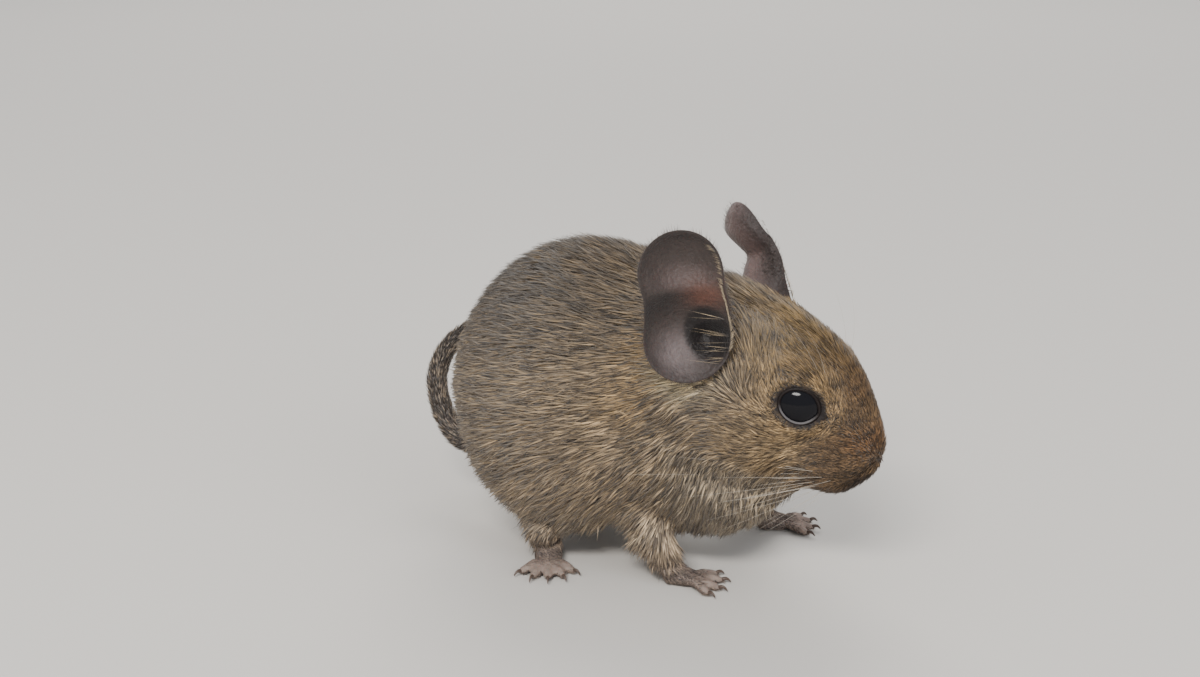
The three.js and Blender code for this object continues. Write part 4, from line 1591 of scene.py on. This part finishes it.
@dataclass
class Coat:
    """The coat: locks over head and body, short spikes on the face and feet, and longer stray hairs.

    Attributes:
        skin: the skin that the tufts stand on.
        rng: the random source.
    """

    skin: Skin
    rng: np.random.Generator

    LOCKS = TuftKind("coat", length=5.2, width=0.33, scatter=0.16, paler=0.0, bent=True)
    SPIKES = TuftKind("short_coat", length=4.4, width=0.24, scatter=0.16, paler=0.0, bent=False)
    STRAYS = TuftKind("stray_hair", length=6.2, width=0.16, scatter=0.24, paler=0.15, bent=False)
    WAVES = (((0.9, 0.5, 0.7), 0.0), ((-0.4, 1.1, 0.8), 1.3), ((0.6, -0.7, 1.4), 0.0))

    def tufts(self, kind: TuftKind, density: np.ndarray) -> TuftBatch:
        """Scatters tufts whose length follows the zones of the body.

        Args:
            kind: their kind.
            density: tufts for each square millimetre, one number for each quad of the skin.

        Returns:
            The tufts.
        """
        roots, normals = self.skin.roots(density, self.rng)
        zone = Pelt.zones(roots)
        size = 1 - 0.45 * zone["head"] - 0.28 * zone["muzzle"]
        size *= (1 - 0.5 * zone["leg"]) * (1 - 0.8 * zone["foot"])
        size *= 0.3 + 0.7 * step(Eye.nearest_share(roots), 1.05, 2.2)
        number = len(roots)
        wave = sum(np.sin(roots @ axis + start) for axis, start in self.WAVES)
        lie = Pelt.lie(roots, normals)
        aside = np.cross(normals, lie)
        turn = 0.09 * wave + self.rng.normal(0, kind.scatter, number)
        rise = self.rng.uniform(0.10, 0.26, number)
        lie = unit(lie * np.cos(turn)[:, None] + aside * np.sin(turn)[:, None] + normals * rise[:, None])
        long = kind.length * size * self.rng.uniform(0.7, 1.15, number)
        wide = kind.width * (0.45 + 0.55 * size) * self.rng.uniform(0.6, 1.25, number)
        mottle = 1 + 0.07 * wave[:, None] + self.rng.normal(0, 0.05, (number, 1))
        x, y, z = roots.T
        streak = np.sin(4.6 * z + 1.2 * x + 2 * np.sin(0.9 * x + 1.6 * z))
        streak += np.sin(2.9 * z - 1.1 * x + 1.6 * np.sin(y))
        tint = np.clip(0.5 + 0.13 * streak + self.rng.uniform(-0.42, 0.42, number), 0, 1)
        tint = blend(tint, 1.0, kind.paler)
        return TuftBatch(roots, normals, lie, long, wide, Pelt.colour(roots) * mottle, tint)

    def build(self, shop: Shop) -> None:
        """Puts the coat into the scene, in pieces that follow the parts of the body.

        Args:
            shop: puts arrays into the scene.
        """
        middle = self.skin.points[self.skin.quads].mean(1)
        normal = self.skin.normals[self.skin.quads].mean(1)
        zone = Pelt.zones(middle)
        under = step(middle[:, 2] - 1.0 * normal[:, 2], 0.4, 1.4)
        open_skin = step(Eye.nearest_share(middle), 1.12, 1.2) * (1 - Eye.corner(middle)) * under
        open_skin *= (1 - zone["nostril"]) * (1 - zone["ear_root"])
        small = np.clip(zone["foot"] + 0.5 * zone["leg"] + 0.6 * zone["nose"], 0, 1)
        number = 9.5 + 9 * zone["head"] + 6 * zone["muzzle"]
        densities = (
            (self.LOCKS, (1 - small) * number),
            (self.SPIKES, small * 30),
            (self.STRAYS, (1 - zone["foot"]) * 7),
        )
        for kind, density in densities:
            batch = self.tufts(kind, open_skin * density)
            for label, which in self.parts(batch.roots).items():
                if which.any():
                    batch.chosen(which).build(shop, f"{kind.label}_{label}", kind.bent)

    @staticmethod
    def parts(p: np.ndarray) -> dict[str, np.ndarray]:
        """Shares places out between the parts of the body.

        Args:
            p: n by 3 places in the design frame.

        Returns:
            Named masks, of which each place has one.
        """
        h = to_head(p)
        head = (h[:, 0] > -5) & (h[:, 2] > -11)
        leg = (p[:, 2] < LEG_TOP) & ~head
        neck = (p[:, 0] > 0) & ~head & ~leg
        rump = (p[:, 0] < -20) & ~leg
        flank = ~(head | leg | neck | rump)
        right, high = p[:, 1] < 0, p[:, 2] >= BACK_FROM
        return {
            "head_right": head & right, "head_left": head & ~right, "legs": leg,
            "neck_right": neck & right, "neck_left": neck & ~right,
            "rump_right": rump & right, "rump_left": rump & ~right,
            "side_right": flank & right & ~high, "side_left": flank & ~right & ~high,
            "back": flank & high,
        }


@dataclass(frozen=True)
class Whiskers:
    """The whiskers: four rows on each side of the muzzle, and two over each eye."""

    ROWS = 4
    EACH = 6

    def lines(self, skin: Skin, rng: np.random.Generator) -> list[tuple[np.ndarray, np.ndarray]]:
        """Makes each whisker as a thin tapered tube that bends back and down.

        Args:
            skin: the skin that the whiskers stand on.
            rng: the random source.

        Returns:
            Points and triangles of each.
        """
        made = []
        t = np.linspace(0, 1, 15)
        for side in Side:
            row, column = np.meshgrid(np.arange(self.ROWS), np.arange(self.EACH), indexing="ij")
            row, column = row.ravel(), column.ravel()
            place = np.stack([14.2 - 0.9 * column, side.value * (3.6 + 0.3 * column), -6.5 - 0.85 * row], 1)
            at = skin.nearest(from_head(place + rng.normal(0, 0.12, place.shape)))
            for root, r, c in zip(skin.points[at], row, column):
                length = 11 + 3.2 * c + rng.uniform(-2, 2)
                spread = 0.4 if side is Side.RIGHT else 0.9
                lean = -0.35 - 0.16 * c + rng.normal(0, 0.08)
                out = unit(np.array([lean, side.value * spread, -0.14 - 0.17 * r]))
                bend = np.array([-0.3, -0.12 * side.value, -0.2])
                local = length * (t[:, None] * out + (t**2)[:, None] * bend * 0.5)
                made.append(tube(root + local @ HEAD_AXES.T, 0.027 * (1 - 0.7 * t), 5))
            brow = np.array([[8.0, side.value * 5.0, 6.4], [7.2, side.value * 5.4, 6.6]])
            for root, lean in zip(skin.points[skin.nearest(from_head(brow))], (0.2, 0.5)):
                out = unit(np.array([-lean, side.value * 0.6, 1.0]))
                local = 8.5 * (t[:, None] * out - (t**2)[:, None] * [0.3, 0, 0])
                made.append(tube(root + local @ HEAD_AXES.T, 0.02 * (1 - 0.7 * t), 5))
        return made

    def build(self, shop: Shop, skin: Skin) -> None:
        """Puts the whiskers into the scene, on the skin."""
        shop.mesh("whiskers", *gathered(self.lines(skin, shop.rng)), "whisker", "coat")


@dataclass(frozen=True)
class Tail:
    """The tail: a ringed, tapering tube with short hair along it and a brush at its end."""

    STEPS = 260
    SIDES = 22
    HAIRS = 9000
    DARK_HAIR = rgb(58, 50, 44)
    PALE_HAIR = rgb(150, 134, 116)

    def build(self, shop: Shop) -> None:
        """Puts the tail and its hair into the scene.

        Args:
            shop: puts arrays into the scene.
        """
        t = np.linspace(0, 1, self.STEPS)
        centres = spline(TAIL_PATH, t)
        length = np.concatenate([[0], np.cumsum(np.linalg.norm(np.diff(centres, axis=0), axis=1))])
        close = np.sqrt(np.clip((length[-1] - length) / 1.2, 0.02, 1))
        radii = spline(TAIL_RADII[:, None], t)[:, 0] * 0.86 * close
        points, faces = tube(centres, radii, self.SIDES)
        piece = shop.mesh("tail", points, faces, "tail_skin", "tail")
        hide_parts("tail_base", "tail_middle", "tail_tip")
        shop.attribute(piece, "length", np.append(np.repeat(length, self.SIDES), [0, length[-1]]))
        number, rng = self.HAIRS, shop.rng
        at = np.sort(rng.uniform(0, 1, number) ** 0.8)
        tangent = unit(np.stack([np.interp(at, t, np.gradient(centres[:, k], t)) for k in range(3)], 1))
        guide = unit(np.cross(tangent, [0.3, 0.2, 0.9]))
        angle = rng.uniform(0, 2 * math.pi, number)[:, None]
        normal = np.cos(angle) * guide + np.sin(angle) * np.cross(tangent, guide)
        middle = np.stack([np.interp(at, t, centres[:, k]) for k in range(3)], 1)
        roots = middle + normal * (np.interp(at, t, radii) * 0.96)[:, None]
        brush = step(at, 0.66, 0.95)
        way = unit(tangent + normal * (0.26 + 0.04 * brush)[:, None] + rng.normal(0, 0.08, (number, 3)))
        size = (1.6 + 4.4 * brush) * rng.uniform(0.6, 1.15, number)
        wide = (0.13 + 0.06 * brush) * rng.uniform(0.7, 1.3, number)
        pelt = np.where(rng.random((number, 1)) < 0.28, self.PALE_HAIR, self.DARK_HAIR)
        batch = TuftBatch(roots, normal, way, size, wide, pelt, rng.uniform(0.35, 0.8, number))
        batch.build(shop, "tail_hair", bent=True, slot="tail")


@dataclass(frozen=True)
class Studio:
    """A pale floor, soft lights, and the camera as the animal was seen.

    Attributes:
        turn: the camera's angle round the animal, in degrees from straight at its right side.
        rise: its angle above level, in degrees.
        distance: its distance from the place it looks at, in millimetres.
        lens: its focal length in millimetres, for a sensor 36 wide.
        looks_at: the place in the design frame.
        seen_at: where that place lies in the image, in its pixels.
    """

    turn: float = 18.0
    rise: float = 18.0
    distance: float = 225.0
    lens: float = 43.0
    looks_at: tuple[float, float, float] = (0.0, 0.0, 24.0)
    seen_at: tuple[float, float] = (668.0, 405.0)

    FLOOR_HALF = 3.0

    def camera(self, shop: Shop) -> None:
        """Places the camera, level, so that the chosen place is seen where it should be.

        Args:
            shop: knows where the design frame lies.
        """
        a, e = math.radians(self.turn), math.radians(self.rise)
        forward = np.array([-math.sin(a) * math.cos(e), math.cos(a) * math.cos(e), -math.sin(e)])
        right = np.array([math.cos(a), math.sin(a), 0])
        up = np.cross(right, forward)
        pixels = self.lens / SENSOR * IMAGE_SIZE[0]
        x = (self.seen_at[0] - IMAGE_SIZE[0] / 2) / pixels
        y = (IMAGE_SIZE[1] / 2 - self.seen_at[1]) / pixels
        place = np.array(self.looks_at) + shop.offset - self.distance * (forward + x * right + y * up)
        data = bpy.data.cameras.new("camera")
        data.lens = self.lens
        data.clip_start = 0.005
        camera = bpy.data.objects.new("camera", data)
        rotation = Matrix(np.stack([right, up, -forward], 1).tolist()).to_4x4()
        camera.matrix_world = Matrix.Translation(Vector(place * MM)) @ rotation
        bpy.context.scene.collection.objects.link(camera)
        bpy.context.scene.camera = camera

    @staticmethod
    def light(
        name: str,
        place: tuple[float, float, float],
        size: tuple[float, float],
        power: float,
        colour: tuple[float, float, float],
        mirrored: bool,
    ) -> None:
        """Adds a soft oval light that shines at the animal.

        Args:
            name: the light's name.
            place: where it stands, in metres.
            size: its width and height in metres.
            power: its power in watts.
            colour: its colour.
            mirrored: whether it is seen in glossy surfaces.
        """
        data = bpy.data.lights.new(name, "AREA")
        data.shape = "ELLIPSE"
        data.size, data.size_y = size
        data.energy, data.color = power, colour
        lamp = bpy.data.objects.new(name, data)
        lamp.visible_glossy = mirrored
        lamp.location = place
        lamp.rotation_euler = (Vector((0, 0, 0.025)) - Vector(place)).to_track_quat("-Z", "Y").to_euler()
        bpy.context.scene.collection.objects.link(lamp)

    def build(self, shop: Shop) -> None:
        """Puts the floor, the lights, the sky and the camera into the scene.

        Args:
            shop: knows where the design frame lies.
        """
        mesh = bpy.data.meshes.new("floor")
        far = self.FLOOR_HALF
        corners = [(-far, -far, 0), (far, -far, 0), (far, far, 0), (-far, far, 0)]
        mesh.from_pydata(corners, [], [(0, 1, 2, 3)])
        mesh.materials.append(shop.finishes["floor"])
        floor = bpy.data.objects.new("floor", mesh)
        bpy.context.scene.collection.objects.link(floor)
        self.light("key", (0.0, -0.62, 0.60), (0.46, 0.14), 6.6, (1.0, 0.97, 0.93), True)
        self.light("fill", (0.9, -0.5, 0.5), (0.9, 0.9), 4.6, (0.93, 0.96, 1.0), False)
        self.light("back", (-0.3, 1.1, 1.1), (1.2, 1.2), 15.0, (1.0, 0.98, 0.95), False)
        world = bpy.data.worlds.new("sky")
        world.use_nodes = True
        world.node_tree.nodes["Background"].inputs["Color"].default_value = (0.86, 0.88, 0.92, 1)
        world.node_tree.nodes["Background"].inputs["Strength"].default_value = 0.75
        bpy.context.scene.world = world
        self.camera(shop)


def main() -> None:
    """Builds the animal, the floor, the lights and the camera."""
    logging.basicConfig(level=logging.INFO, format="%(message)s")
    shop = Shop.from_frame()
    skin = Skin.build(shop.offset)
    body = shop.mesh("skin", skin.points, skin.quads, "skin", "coat")
    shop.attribute(body, "pelt", Pelt.colour(skin.points))
    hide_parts(*Skin.NODES, *(foot.label for foot in FEET))
    claws = [claw for foot in FEET for claw in foot.claws()]
    for part in (*(Eye(side) for side in Side), *EARS):
        part.build(shop)
    shop.mesh("claws", *gathered(claws), "claw", "foot_skin")
    Tail().build(shop)
    Coat(skin, shop.rng).build(shop)
    Whiskers().build(shop, skin)
    Studio().build(shop)


if __name__ == "__main__":
    main()
